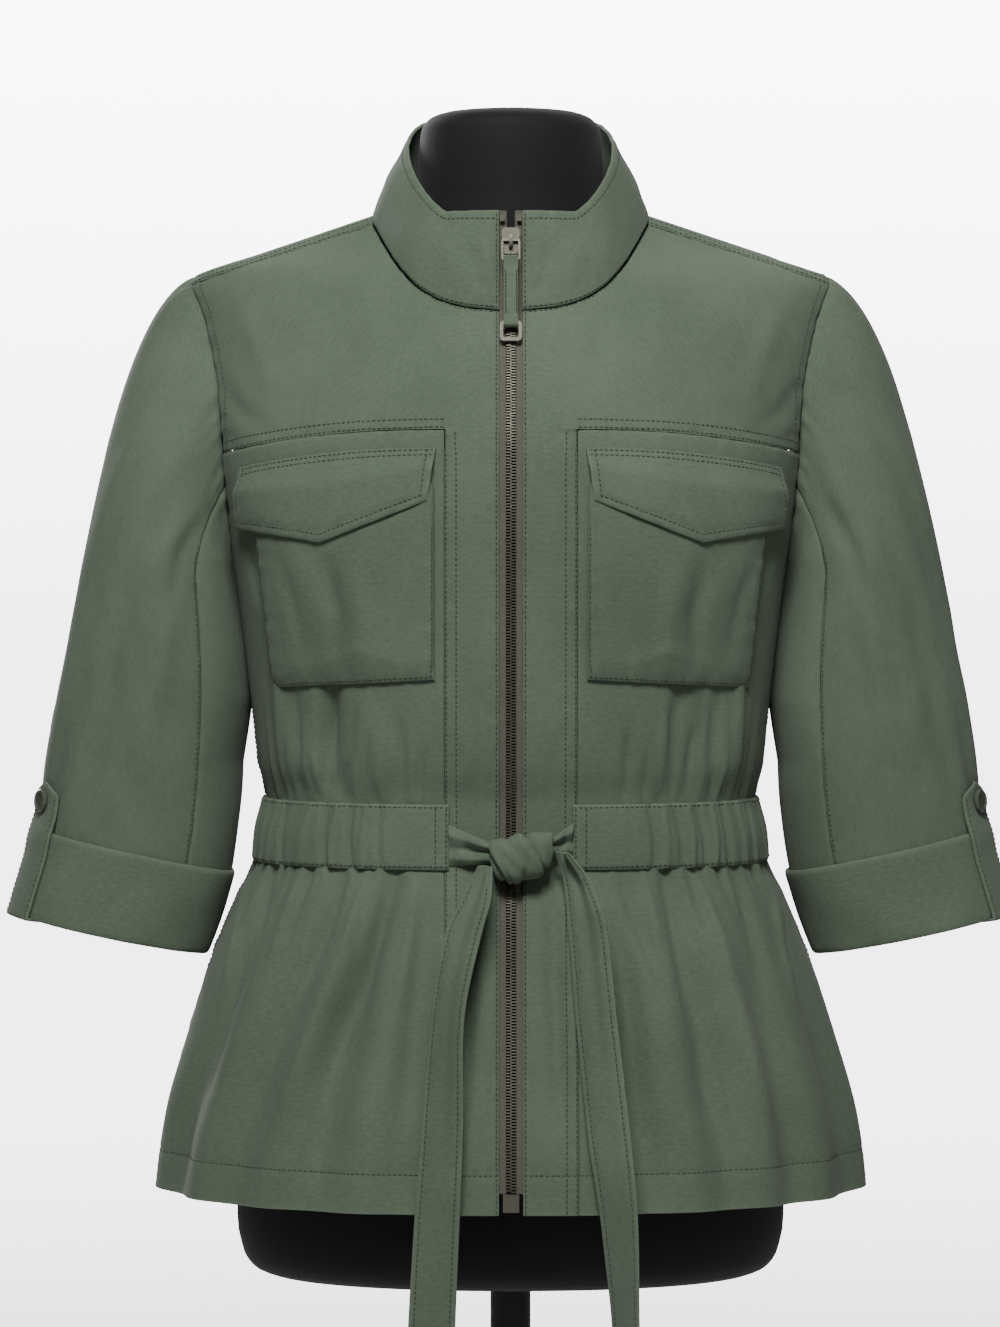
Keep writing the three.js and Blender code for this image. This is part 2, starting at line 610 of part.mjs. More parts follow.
const COLLAR_ROWS = [0, 0.25, 0.5, 0.75, 1];
const COLLAR_BULGE = 2.5;
function collarGrid() {
  const half = collarStations();
  const point = (station, share) => {
    const p = station.base.clone().lerp(station.top, share);
    const rise = station.top.clone().sub(station.base).normalize();
    p.addScaledVector(rise, (1 - share) * (SEAM_GAP + 0.15));
    const out = v3(p.x, p.y - COLLAR_MID_Y, 0).normalize();
    const bulge = COLLAR_BULGE * Math.sin(Math.PI * share);
    return p.addScaledVector(out, p.x > ZIP_EDGE + 1 ? bulge : 0);
  };
  return COLLAR_ROWS.map((share) => {
    const left = half.map((station) => point(station, share));
    const right = left.slice(0, -1).reverse().map((p) => v3(-p.x, p.y, p.z));
    return [...left, ...right];
  });
}

const collarOuter = collarGrid();
const collarNormals = gridNormals(collarOuter, false, (p) => v3(0, COLLAR_MID_Y, p.z));
add("collar", wall(collarOuter, moved(collarOuter, collarNormals, -DOUBLED)), TWILL);

// Sleeves
function armholeLoop() {
  const sideRows = sideFrontPlaces(1).slice(LOW_ROWS.length - 1);
  const centre = centreFrontPlaces(1).rows.slice(-YOKE_ARM_ROWS.length + 1);
  const backRows = back.rows.slice(LOW_ROWS.length - 1);
  const end = (rows) => rows.map((row) => row[row.length - 1]);
  const places = [...end(sideRows), ...end(centre)];
  const behind = end(backRows).reverse();
  return [...places, ...behind.slice(1, -1)].map((place) => bodyPoint(place.turn, place.z));
}

const ARM_LOOP = armholeLoop();
const ARM_CENTRE = { y: 4, z: 1313, half: 45, high: 86 };
const ARM_ANGLES = ARM_LOOP.map((p) => Math.atan2(
  -(p.y - ARM_CENTRE.y) / ARM_CENTRE.half,
  (p.z - ARM_CENTRE.z) / ARM_CENTRE.high,
));
// The angles run from the armpit over the front, the top and the back to the armpit again.
ARM_ANGLES[0] = Math.PI;

// A place between two stations of the armhole loop.
function loopPlace(position) {
  const count = ARM_LOOP.length;
  const whole = Math.floor(position);
  const share = position - whole;
  const a = ((whole % count) + count) % count;
  const b = (a + 1) % count;
  let angleB = ARM_ANGLES[b];
  if (b === 0) angleB = -Math.PI;
  return {
    start: ARM_LOOP[a].clone().lerp(ARM_LOOP[b], share),
    angle: lerp(ARM_ANGLES[a], angleB, share),
  };
}

// A point of the sleeve below the armpit. angle is 0 on the outer side and 90 degrees in front.
function sleeveRing(angle, down, lift = 0) {
  const ring = {};
  for (const key of ["x", "y", "z", "half", "depth", "tilt"]) {
    ring[key] = along(SLEEVE_RINGS, "down", key, down);
  }
  const tilt = radians(ring.tilt);
  const outX = (ring.half + lift) * Math.cos(angle);
  return v3(
    ring.x + outX * Math.cos(tilt),
    ring.y - (ring.depth + lift) * Math.sin(angle),
    ring.z + outX * Math.sin(tilt),
  );
}

function capPoint(place, share) {
  const angle = place.angle;
  const start = place.start.clone().add(v3(SEAM_GAP + 0.05, 0, 0));
  const end = sleeveRing(angle, 0);
  const reach = end.distanceTo(start);
  const leave = v3(
    0.675 + 0.175 * Math.cos(angle),
    -0.3 * Math.sin(angle),
    -0.6 + 0.25 * Math.cos(angle),
  ).normalize();
  const arrive = sleeveRing(angle, 6).sub(end).normalize();
  const s2 = share * share;
  const s3 = s2 * share;
  return start.multiplyScalar(2 * s3 - 3 * s2 + 1)
    .addScaledVector(leave, (s3 - 2 * s2 + share) * reach * CAP_PUFF)
    .addScaledVector(end, 3 * s2 - 2 * s3)
    .addScaledVector(arrive, (s3 - s2) * reach * 0.9);
}

// A point of the sleeve at a station of the armhole: step goes from 0 at the armhole to 1 at the
// armpit section, and on by 1 for each REACH of length below it.
const REACH = 100;
function sleevePoint(position, step) {
  const place = loopPlace(position);
  return step < 1 ? capPoint(place, step) : sleeveRing(place.angle, (step - 1) * REACH);
}

function sleeveNormal(position, step) {
  const across = sleevePoint(position + 0.25, step).sub(sleevePoint(position - 0.25, step));
  const down = sleevePoint(position, step + 0.02).sub(
    sleevePoint(position, Math.max(0, step - 0.02)),
  );
  return down.cross(across).normalize();
}

const LOOP_COUNT = ARM_LOOP.length;
const NICK = 0.008;
const UPPER_POSITIONS = [];
for (let j = SLEEVE_SEAM; j <= LOOP_COUNT - SLEEVE_SEAM; j += 1) UPPER_POSITIONS.push(j);
UPPER_POSITIONS[0] += NICK;
UPPER_POSITIONS[UPPER_POSITIONS.length - 1] -= NICK;
const UNDER_POSITIONS = [];
for (let j = -SLEEVE_SEAM; j <= SLEEVE_SEAM; j += 1) UNDER_POSITIONS.push(j);
UNDER_POSITIONS[0] += NICK;
UNDER_POSITIONS[UNDER_POSITIONS.length - 1] -= NICK;

const SLEEVE_STEPS = [...CAP_ROWS, ...SLEEVE_ROWS.map((down) => 1 + down / REACH)];

function sleeveWall(positions, sign) {
  const layer = (lift) => SLEEVE_STEPS.map((step) => positions.map((position) =>
    sleevePoint(position, step).addScaledVector(sleeveNormal(position, step), lift)));
  return wall(mirrored(layer(0), sign), mirrored(layer(-CLOTH), sign));
}
for (const side of SIDES) {
  add(`sleeve_upper_${side.name}`, sleeveWall(UPPER_POSITIONS, side.sign), TWILL);
  add(`sleeve_under_${side.name}`, sleeveWall(UNDER_POSITIONS, side.sign), TWILL);
}

// Turned-back cuffs: a doubled band round the sleeve's end.
const CUFF_ROWS = [0, 0.33, 0.67, 1];
function cuffWall(sign) {
  const layer = (lift) => CUFF_ROWS.map((share) => {
    const down = lerp(CUFF_TOP, CUFF_BOTTOM, share);
    return ARM_LOOP.map((_, j) => sleeveRing(loopPlace(j).angle, down, lift));
  });
  return wall(
    mirrored(layer(CUFF_LIFT + DOUBLED), sign),
    mirrored(layer(CUFF_LIFT), sign),
    true,
  );
}
for (const side of SIDES) add(`cuff_${side.name}`, cuffWall(side.sign), TWILL);

// Sleeve tabs: a strap from inside the cuff, round its lower edge and up to its button.
// lift is the height of the strap's middle line over the sleeve.
const TAB_PATH = [
  { lift: -3.9, down: CUFF_BOTTOM - 22 },
  { lift: -3.9, down: CUFF_BOTTOM + 3.2 },
  { lift: 5, down: CUFF_BOTTOM + 3.2 },
  { lift: 5, down: CUFF_TOP + 2 },
  { lift: 4.2, down: CUFF_TOP - 5 },
  { lift: 2.4, down: CUFF_TOP - 13 },
  { lift: 2.2, down: CUFF_TOP - 26 },
  { lift: 2.2, down: CUFF_TOP - TAB_ABOVE_CUFF },
];
const TAB_COLUMNS = [-1, -0.5, 0, 0.5, 1];
const TAB_POINT = 7;

function tabWall(sign) {
  const offset = (k, by) => {
    const at = TAB_PATH[k];
    const before = TAB_PATH[Math.max(0, k - 1)];
    const after = TAB_PATH[Math.min(TAB_PATH.length - 1, k + 1)];
    const normalOf = (a, b) => new THREE.Vector2(b.down - a.down, a.lift - b.lift).normalize();
    const first = k > 0 ? normalOf(before, at) : normalOf(at, after);
    const second = k < TAB_PATH.length - 1 ? normalOf(at, after) : first;
    const mitre = first.clone().add(second).normalize();
    mitre.multiplyScalar(by / Math.max(0.5, mitre.dot(first)));
    return { lift: at.lift + mitre.x, down: at.down + mitre.y };
  };
  const layer = (by) => TAB_PATH.map((_, k) => TAB_COLUMNS.map((column) => {
    const place = offset(k, by);
    const point = k === TAB_PATH.length - 1 ? TAB_POINT * Math.abs(column) : 0;
    const angle = radians(TAB_ANGLE + TAB_SPREAD * column);
    return sleeveRing(angle, place.down + point, place.lift);
  }));
  return wall(mirrored(layer(-TAB_THICK / 2), sign), mirrored(layer(TAB_THICK / 2), sign));
}

function turned(profile, segments) {
  const points = profile.map(([radius, height]) => new THREE.Vector2(radius, height));
  const lathe = new THREE.LatheGeometry(points, segments);
  const geometry = new THREE.BufferGeometry()
    .setAttribute("position", lathe.getAttribute("position"))
    .setIndex(lathe.index);
  return fromSolid(toSolid(outwards(mergeVertices(geometry, 1e-4))));
}

const BUTTON_PROFILE = [
  [0, 0], [BUTTON_RADIUS - 0.6, 0], [BUTTON_RADIUS, 0.8], [BUTTON_RADIUS, 2.2],
  [BUTTON_RADIUS - 0.8, BUTTON_HEIGHT], [BUTTON_RADIUS - 2, BUTTON_HEIGHT],
  [BUTTON_RADIUS - 2.6, 2.2], [0, 2.2],
];
const BUTTON_LIFT = 3.9;

function placeButton(sign) {
  const angle = radians(TAB_ANGLE);
  const seat = sleeveRing(angle, BUTTON_DOWN, BUTTON_LIFT);
  const round = sleeveRing(angle + 0.05, BUTTON_DOWN).sub(sleeveRing(angle - 0.05, BUTTON_DOWN));
  const along1 = sleeveRing(angle, BUTTON_DOWN - 3).sub(sleeveRing(angle, BUTTON_DOWN + 3));
  const normal = round.cross(along1).normalize();
  if (normal.x < 0) normal.negate();
  seat.x *= sign;
  normal.x *= sign;
  return turned(BUTTON_PROFILE, 12).applyQuaternion(
    new THREE.Quaternion().setFromUnitVectors(v3(0, 1, 0), normal),
  ).translate(seat.x, seat.y, seat.z);
}

for (const side of SIDES) {
  add(`sleeve_tab_${side.name}`, tabWall(side.sign), TWILL);
  add(`tab_button_${side.name}`, placeButton(side.sign), BUTTON_HORN);
}

// Waist casing: a doubled band over the gathered waist, open at the centre front.
const CASING_ROWS = LOW_ROWS.map((z, i) => i).filter(
  (i) => LOW_ROWS[i] >= CASING_LOW && LOW_ROWS[i] <= CASING_HIGH,
);
const CASING_LIFT = 0.35;
const CASING_THICK = 2;

function casingWall(rows) {
  const layer = (lift) => rows.map((row) => row.map(
    (place) => bodyPoint(place.turn, place.z, lift),
  ));
  return wall(layer(CASING_LIFT + CASING_THICK), layer(CASING_LIFT));
}

for (const side of SIDES) {
  const panel = sideFrontPlaces(side.sign);
  const rows = CASING_ROWS.map((i) => [
    { turn: side.sign * turnOf(CASING_END, LOW_ROWS[i]), z: LOW_ROWS[i] },
    ...panel[i],
  ]);
  add(`waist_casing_front_${side.name}`, casingWall(rows), TWILL);
}
add("waist_casing_back", casingWall(CASING_ROWS.map((i) => back.rows[i])), TWILL);

// Chest pockets: a bellows bag that stands off the side front, under a pointed flap.
const PANEL_LIFT = 1.1;
const BAG_LOW_LIFT = 2.4;
const BAG_COLUMNS = [0, 0.045, 0.27, 0.5, 0.73, 0.955, 1];
const BAG_ROWS = [0, 0.3, 0.62, 0.95, 1];
function pocketBag(sign) {
  const layer = (thick) => BAG_ROWS.map((v) => BAG_COLUMNS.map((u) => {
    const z = lerp(POCKET.top, POCKET.low, v);
    const outer = lerp(POCKET.outerTop, POCKET.outerLow, v);
    const onEdge = u === 0 || u === 1 || v === 1;
    const edgeLift = v === 1 ? BAG_LOW_LIFT : PANEL_LIFT;
    const lift = onEdge ? edgeLift : POCKET.stand - CLOTH;
    return onBody(sign * lerp(POCKET.inner, outer, u), z, lift + thick);
  }));
  return wall(layer(CLOTH), layer(0));
}

const FLAP_ROWS = [
  { v: 0, lift: PANEL_LIFT },
  { v: 0.2, lift: 3.6 },
  { v: 0.42, lift: 7.1 },
  { v: 0.75, lift: 7 },
  { v: 1, lift: 6.6 },
];
const FLAP_COLUMNS = [0, 0.18, 0.36, 0.55, 0.7, 0.85, 1];
const FLAP_TIP_SHARE = 0.55;
function pocketFlap(sign) {
  const layer = (thick) => FLAP_ROWS.map((row) => FLAP_COLUMNS.map((u) => {
    const x = lerp(lerp(FLAP.inner, FLAP.innerLow, row.v), FLAP.outer, u);
    const top = FLAP_TOP_Z - FLAP_OUTER_DROP * u ** 2.2;
    const low = u < FLAP_TIP_SHARE
      ? lerp(FLAP_LOW.inner, FLAP_LOW.tip, u / FLAP_TIP_SHARE)
      : lerp(FLAP_LOW.tip, FLAP_LOW.outer, (u - FLAP_TIP_SHARE) / (1 - FLAP_TIP_SHARE));
    return onBody(sign * x, lerp(top, low, row.v), row.lift + thick);
  }));
  return wall(layer(CLOTH), layer(0));
}

for (const side of SIDES) {
  add(`pocket_bag_${side.name}`, pocketBag(side.sign), TWILL);
  add(`pocket_flap_${side.name}`, pocketFlap(side.sign), TWILL);
}

// Zip: it follows the centre front from the hem to the collar's top.
const ZIP_LOW = HEM_Z + 13;
const zipBodyZ = [
  ZIP_LOW,
  ...centreFrontPlaces(1).rows.map((row) => row[0].z).filter((z) => z > ZIP_LOW),
];
function zipLine(x, lift, collarLift = lift) {
  const seam = zipBodyZ.length - 1;
  const low = zipBodyZ.map((z, i) => onBody(x, z, i < seam ? lift : collarLift));
  const high = collarOuter.slice(1).map((row, i) => {
    const share = Math.max(0, (Math.abs(x) - row[0].x) / (row[1].x - row[0].x));
    const normal = collarNormals[i + 1][0].clone().setX(0).normalize();
    return row[0].clone().lerp(row[1], share).setX(x).addScaledVector(normal, collarLift);
  });
  return [...low, ...high];
}

function zipStrip(xs, lift, collarLift, thick) {
  const layer = (deep) => {
    const lines = xs.map((x) => zipLine(x, lift - deep, collarLift - deep));
    return lines[0].map((_, i) => lines.map((line) => line[i]));
  };
  return wall(layer(0), layer(thick));
}

const TEETH_LIFT = -0.4;
const TAPE_BEHIND = 0.4;
const TAPE_BEHIND_COLLAR = 1.1;
const TEETH_XS = [-TEETH_HALF, 0, TEETH_HALF];
add("zip_teeth", zipStrip(TEETH_XS, TEETH_LIFT, TEETH_LIFT, TEETH_THICK), ZIP_METAL);
for (const side of SIDES) {
  const xs = [TEETH_HALF + SEAM_GAP, 8, TAPE_FAR].map((x) => side.sign * x);
  const tape = zipStrip(xs, -CLOTH - TAPE_BEHIND, -DOUBLED - TAPE_BEHIND_COLLAR, TAPE_THICK);
  add(`zip_tape_${side.name}`, tape, ZIP_TAPE);
}

function centreBox(width, deep, high, z, lift) {
  const seat = onBody(0, z, lift);
  return new THREE.BoxGeometry(width, deep, high).translate(0, seat.y, z);
}
add("zip_bottom_box", centreBox(10, 3.4, 11, HEM_Z + 7, -1.2), ZIP_METAL);

// The zip's line at a height on the collar, with its outward normal and its downward direction.
function collarLineAt(z) {
  const line = zipLine(0, 0);
  let i = line.length - 2;
  while (line[i].z > z) i -= 1;
  const share = (z - line[i].z) / (line[i + 1].z - line[i].z);
  const down = line[i].clone().sub(line[i + 1]).normalize();
  return {
    point: line[i].clone().lerp(line[i + 1], share),
    down,
    out: v3(0, down.z, -down.y).normalize(),
  };
}

const STOP_Z = 1431;
const stopSeat = collarLineAt(STOP_Z);
for (const side of SIDES) {
  const place = stopSeat.point.clone().addScaledVector(stopSeat.out, -0.6);
  const stop = new THREE.BoxGeometry(3, 2, 4).translate(side.sign * 5.3, place.y, place.z);
  add(`zip_top_stop_${side.name}`, stop, ZIP_METAL);
}

// Slider: a face plate with a bail over it. The pull's bar passes through the bail.
const SLIDER = { high: 17, width: 11.5, thick: 2.2 };
const BAIL = { width: 2.2, long: 9, high: 4.8, thick: 1.3 };
const PIVOT_LIFT = SLIDER.thick + 2;

// A frame whose X is across the jacket, whose Y points up the given line and whose Z points out.
function frameAt(origin, up) {
  const out = v3(1, 0, 0).cross(up).normalize();
  return new THREE.Matrix4().makeBasis(v3(1, 0, 0), up.clone().normalize(), out)
    .setPosition(origin);
}

// A shape drawn in up and out, and extruded across the jacket.
function acrossShape(shape, width) {
  const solid = new THREE.ExtrudeGeometry(shape, {
    depth: width, bevelEnabled: false, curveSegments: 5,
  }).translate(0, 0, -width / 2);
  return solid.applyMatrix4(new THREE.Matrix4().set(
    0, 0, 1, 0,
    1, 0, 0, 0,
    0, 1, 0, 0,
    0, 0, 0, 1,
  ));
}

function plain(geometry) {
  const bareGeometry = new THREE.BufferGeometry()
    .setAttribute("position", geometry.getAttribute("position").clone());
  if (geometry.index) bareGeometry.setIndex(geometry.index.clone());
  return mergeVertices(bareGeometry, 1e-4);
}

function sliderSolid() {
  const half = SLIDER.width / 2;
  const tall = SLIDER.high / 2;
  const outline = new THREE.Shape();
  outline.moveTo(-half * 0.7, -tall);
  outline.lineTo(half * 0.7, -tall);
  outline.quadraticCurveTo(half * 0.85, -tall * 0.2, half, tall * 0.5);
  outline.quadraticCurveTo(half, tall, half * 0.6, tall);
  outline.lineTo(-half * 0.6, tall);
  outline.quadraticCurveTo(-half, tall, -half, tall * 0.5);
  outline.quadraticCurveTo(-half * 0.85, -tall * 0.2, -half * 0.7, -tall);
  const plate = new THREE.ExtrudeGeometry(outline, {
    depth: SLIDER.thick, bevelEnabled: false, curveSegments: 4,
  });
  const arch = new THREE.Shape();
  const long = BAIL.long / 2;
  const within = long - BAIL.thick;
  const under = BAIL.high - BAIL.thick;
  arch.moveTo(-long, 0);
  arch.lineTo(-within, 0);
  arch.lineTo(-within, under * 0.6);
  arch.quadraticCurveTo(-within, under, 0, under);
  arch.quadraticCurveTo(within, under, within, under * 0.6);
  arch.lineTo(within, 0);
  arch.lineTo(long, 0);
  arch.lineTo(long, BAIL.high * 0.6);
  arch.quadraticCurveTo(long, BAIL.high, 0, BAIL.high);
  arch.quadraticCurveTo(-long, BAIL.high, -long, BAIL.high * 0.6);
  const bail = acrossShape(arch, BAIL.width).translate(0, 0, SLIDER.thick - 0.2);
  return joined(plain(plate), plain(bail));
}

const sliderSeat = collarLineAt(SLIDER_Z);
const sliderUp = sliderSeat.down.clone().negate();
const sliderFrame = frameAt(sliderSeat.point, sliderUp);
add("zip_slider", sliderSolid().applyMatrix4(sliderFrame), ZIP_METAL);

// Pull: a metal loop through the bail, a stitched cloth strap and an end ring, one rigid piece.
const LOOP = { width: 11.8, top: 0.75, low: -13, side: 1.2, thick: 1.3, bar: 1.5 };
const RING = { width: 14, high: 13, side: 2.2, thick: 2.2, corner: 3 };
const STRAP_WIDTH = 8.8;
const STRAP_THICK = 2.2;
const EYE_PLAY = 0.35;

function frameShape(width, top, low, side, bar, corner) {
  const round = (path, w, t, l, r) => {
    path.moveTo(-w + r, t);
    path.quadraticCurveTo(-w, t, -w, t - r);
    path.lineTo(-w, l + r);
    path.quadraticCurveTo(-w, l, -w + r, l);
    path.lineTo(w - r, l);
    path.quadraticCurveTo(w, l, w, l + r);
    path.lineTo(w, t - r);
    path.quadraticCurveTo(w, t, w - r, t);
    path.closePath();
    return path;
  };
  const shape = round(new THREE.Shape(), width / 2, top, low, corner);
  const inner = Math.max(0.3, corner - side);
  shape.holes.push(round(new THREE.Path(), width / 2 - side, top - bar, low + bar, inner));
  return shape;
}

function framePlate(shape, thick) {
  return new THREE.ExtrudeGeometry(shape, {
    depth: thick, bevelEnabled: false, curveSegments: 4,
  }).translate(0, 0, -thick / 2);
}

function crossBar(radius, width, y) {
  return new THREE.CylinderGeometry(radius, radius, width, 14)
    .rotateZ(Math.PI / 2).translate(0, y, 0);
}

function strapSolid(topY, topBar, lowY, lowBar) {
  const eye = (bar, thick) => Math.hypot(bar, thick) / 2 + EYE_PLAY;
  const topEye = eye(topBar, LOOP.thick);
  const lowEye = eye(lowBar, RING.thick);
  const cloth = STRAP_THICK / 2;
  const slab = new THREE.BoxGeometry(STRAP_WIDTH, topY - lowY, STRAP_THICK)
    .translate(0, (topY + lowY) / 2, 0);
  return fromSolid(toSolid(plain(slab))
    .add(toSolid(plain(crossBar(topEye + cloth, STRAP_WIDTH, topY))))
    .add(toSolid(plain(crossBar(lowEye + cloth, STRAP_WIDTH, lowY))))
    .subtract(toSolid(plain(crossBar(topEye, STRAP_WIDTH + 1, topY))))
    .subtract(toSolid(plain(crossBar(lowEye, STRAP_WIDTH + 1, lowY)))));
}

const loopBarY = LOOP.low + LOOP.bar / 2;
const ringTop = -PULL_LENGTH + RING.high;
const ringBarY = ringTop - RING.side / 2;
const pivot = sliderSeat.point.clone().addScaledVector(sliderSeat.out, PIVOT_LIFT);
const ringRest = onBody(0, 1352, RING.thick / 2 + 0.6);
const pull = new THREE.Group();
pull.applyMatrix4(frameAt(pivot, pivot.clone().sub(ringRest)));
jacket.add(pull);

function addToPull(name, geometry, finish) {
  const mesh = new THREE.Mesh(fromSolid(toSolid(geometry)), new THREE.MeshStandardMaterial(finish));
  mesh.name = name;
  pull.add(mesh);
}
const loopShape = frameShape(LOOP.width, LOOP.top, LOOP.low, LOOP.side, LOOP.bar, 1.2);
addToPull("zip_pull_tab", framePlate(loopShape, LOOP.thick), ZIP_METAL);
addToPull("zip_pull_strap", strapSolid(loopBarY, LOOP.bar, ringBarY, RING.side), TWILL_SHADE);
const ringShape = frameShape(
  RING.width, ringTop, -PULL_LENGTH, RING.side, RING.side, RING.corner,
);
addToPull("zip_pull_ring", framePlate(ringShape, RING.thick), ZIP_METAL);

// Tie: a knot over the zip, a strand to each casing end and two hanging tails.
function loftSolid(rings) {
  const points = [];
  const faces = [];
  const count = rings[0].length;
  for (const ring of rings) for (const p of ring) points.push(p.x, p.y, p.z);
  for (let i = 0; i < rings.length - 1; i += 1) {
    for (let j = 0; j < count; j += 1) {
      const a = i * count + j;
      const b = i * count + ((j + 1) % count);
      faces.push(a, b, b + count, a, b + count, a + count);
    }
  }
  const cap = (ring, flip) => {
    const centre = ring.reduce((sum, p) => sum.add(p), v3(0, 0, 0)).divideScalar(count);
    const hub = points.length / 3;
    points.push(centre.x, centre.y, centre.z);
    const first = flip ? 0 : (rings.length - 1) * count;
    for (let j = 0; j < count; j += 1) {
      const a = first + j;
      const b = first + ((j + 1) % count);
      faces.push(...(flip ? [b, a, hub] : [a, b, hub]));
    }
  };
  cap(rings[0], true);
  cap(rings[rings.length - 1], false);
  return outwards(new THREE.BufferGeometry()
    .setAttribute("position", new THREE.Float32BufferAttribute(points, 3))
    .setIndex(faces));
}

const KNOT_RINGS = [
  { x: -13.5, top: 1039, low: 1028, deep: 9 },
  { x: -10, top: 1042, low: 1019, deep: 17 },
  { x: -1, top: 1044, low: 1014.5, deep: 22 },
  { x: 10, top: 1046, low: 1016.5, deep: 22 },
  { x: 20, top: 1047, low: 1021, deep: 18 },
  { x: 26, top: 1046, low: 1029, deep: 9 },
];
const KNOT_LIFT = 12.5;
const KNOT_SIDES = 12;
const KNOT_Y = onBody(0, 1031, KNOT_LIFT).y;
add("tie_knot", loftSolid(KNOT_RINGS.map((ring) =>
  Array.from({ length: KNOT_SIDES }, (_, j) => {
    const angle = (j / KNOT_SIDES) * 2 * Math.PI;
    const middle = (ring.top + ring.low) / 2;
    const square = (t) => Math.sign(t) * Math.abs(t) ** 0.75;
    return v3(
      ring.x,
      KNOT_Y + (ring.deep / 2) * square(Math.cos(angle)),
      middle + ((ring.top - ring.low) / 2) * square(Math.sin(angle)),
    );
  }))), TWILL);

// A ribbon through stations: centre, half width vector and the way its face looks.
function ribbon(stations, thick, columns) {
  const layer = (by) => stations.map((station) => columns.map((column) => {
    const bend = station.valley ?? 0;
    return station.centre.clone()
      .addScaledVector(station.half, column)
      .addScaledVector(station.face, by - bend * (1 - Math.abs(column)));
  }));
  return wall(layer(thick / 2), layer(-thick / 2));
}

const TIE_WIDTH = 29;
const STRAND_LIFT = 4.2;
const TIE_THICK = 2;
const STRAND_START = CASING_END - 0.35;
const STRANDS = [
  { name: "right", fromX: -STRAND_START, fromZ: 1037.5, fromHigh: 13, toX: -14.2, toZ: 1033.5, toHigh: 5.5 },
  { name: "left", fromX: STRAND_START, fromZ: 1041, fromHigh: 10.5, toX: 26.8, toZ: 1038.6, toHigh: 4 },
];
for (const strand of STRANDS) {
  const stations = [0, 0.5, 1].map((share) => {
    const x = lerp(strand.fromX, strand.toX, share);
    const z = lerp(strand.fromZ, strand.toZ, share);
    const lift = lerp(STRAND_LIFT, KNOT_LIFT - 1, share ** 1.3);
    return {
      centre: onBody(x, z, lift),
      half: v3(0, 0, lerp(strand.fromHigh, strand.toHigh, share)),
      face: v3(0, -1, 0),
      valley: 2.5 * Math.sin(Math.PI * share),
    };
  });
  add(`tie_strand_${strand.name}`, ribbon(stations, TIE_THICK, [-1, -0.5, 0, 0.5, 1]), TWILL);
}

// Hanging tails: the middle of the ribbon at each height and how wide it shows from the front.
const TAIL_LOW = 705;
const TAILS = [
  {
    name: "right",
    rows: [
      { z: 1026, x: -16.5, shows: 9, stand: 12 },
      { z: 1008, x: -21.5, shows: 17, stand: 9 },
      { z: 985, x: -30, shows: 22.5, stand: 6 },
      { z: 932, x: -39, shows: 20, stand: 5 },
      { z: 868, x: -42.5, shows: 24.4, stand: 5 },
      { z: 804, x: -46.6, shows: 27, stand: 5 },
      { z: 747, x: -49, shows: 28.5, stand: 5 },
      { z: 705, x: -50.5, shows: 28.8, stand: 5 },
    ],
  },
  {
    name: "left",
    rows: [
      { z: 1034, x: 31.5, shows: 9, stand: 12 },
      { z: 1014, x: 41.5, shows: 18, stand: 8 },
      { z: 985, x: 47.4, shows: 24, stand: 6 },
      { z: 932, x: 52, shows: 24.8, stand: 5 },
      { z: 868, x: 58.9, shows: 24.8, stand: 5 },
      { z: 804, x: 66.3, shows: 20, stand: 7 },
      { z: 747, x: 69, shows: 15.5, stand: 8 },
      { z: 705, x: 70, shows: 15, stand: 8 },
    ],
  },
];
const TAIL_STEPS = 13;
const TAIL_COLUMNS = [-1, -0.33, 0.33, 1];
const HANG_FROM_Z = 830;
for (const tail of TAILS) {
  const rows = [...tail.rows].reverse();
  const top = tail.rows[0].z;
  const stations = Array.from({ length: TAIL_STEPS + 1 }, (_, i) => {
    const z = lerp(top, TAIL_LOW, i / TAIL_STEPS);
    const x = along(rows, "z", "x", z);
    const shows = along(rows, "z", "shows", z);
    const width = z > 1000 ? Math.max(shows, lerp(14, TIE_WIDTH, (top - z) / (top - 1000))) : TIE_WIDTH;
    const yaw = Math.acos(Math.min(1, shows / width));
    const restZ = Math.max(z, HANG_FROM_Z);
    const half = v3(Math.cos(yaw), -Math.sin(yaw), 0).multiplyScalar(width / 2);
    const stand = along(rows, "z", "stand", z);
    const clear = TAIL_COLUMNS.map((u) => onBody(x + half.x * u, restZ, stand).y - half.y * u);
    return {
      centre: v3(x, Math.min(...clear), z),
      half,
      face: v3(-Math.sin(yaw), -Math.cos(yaw), 0),
    };
  });
  add(`tie_tail_${tail.name}`, ribbon(stations, TIE_THICK, TAIL_COLUMNS), TWILL);
}

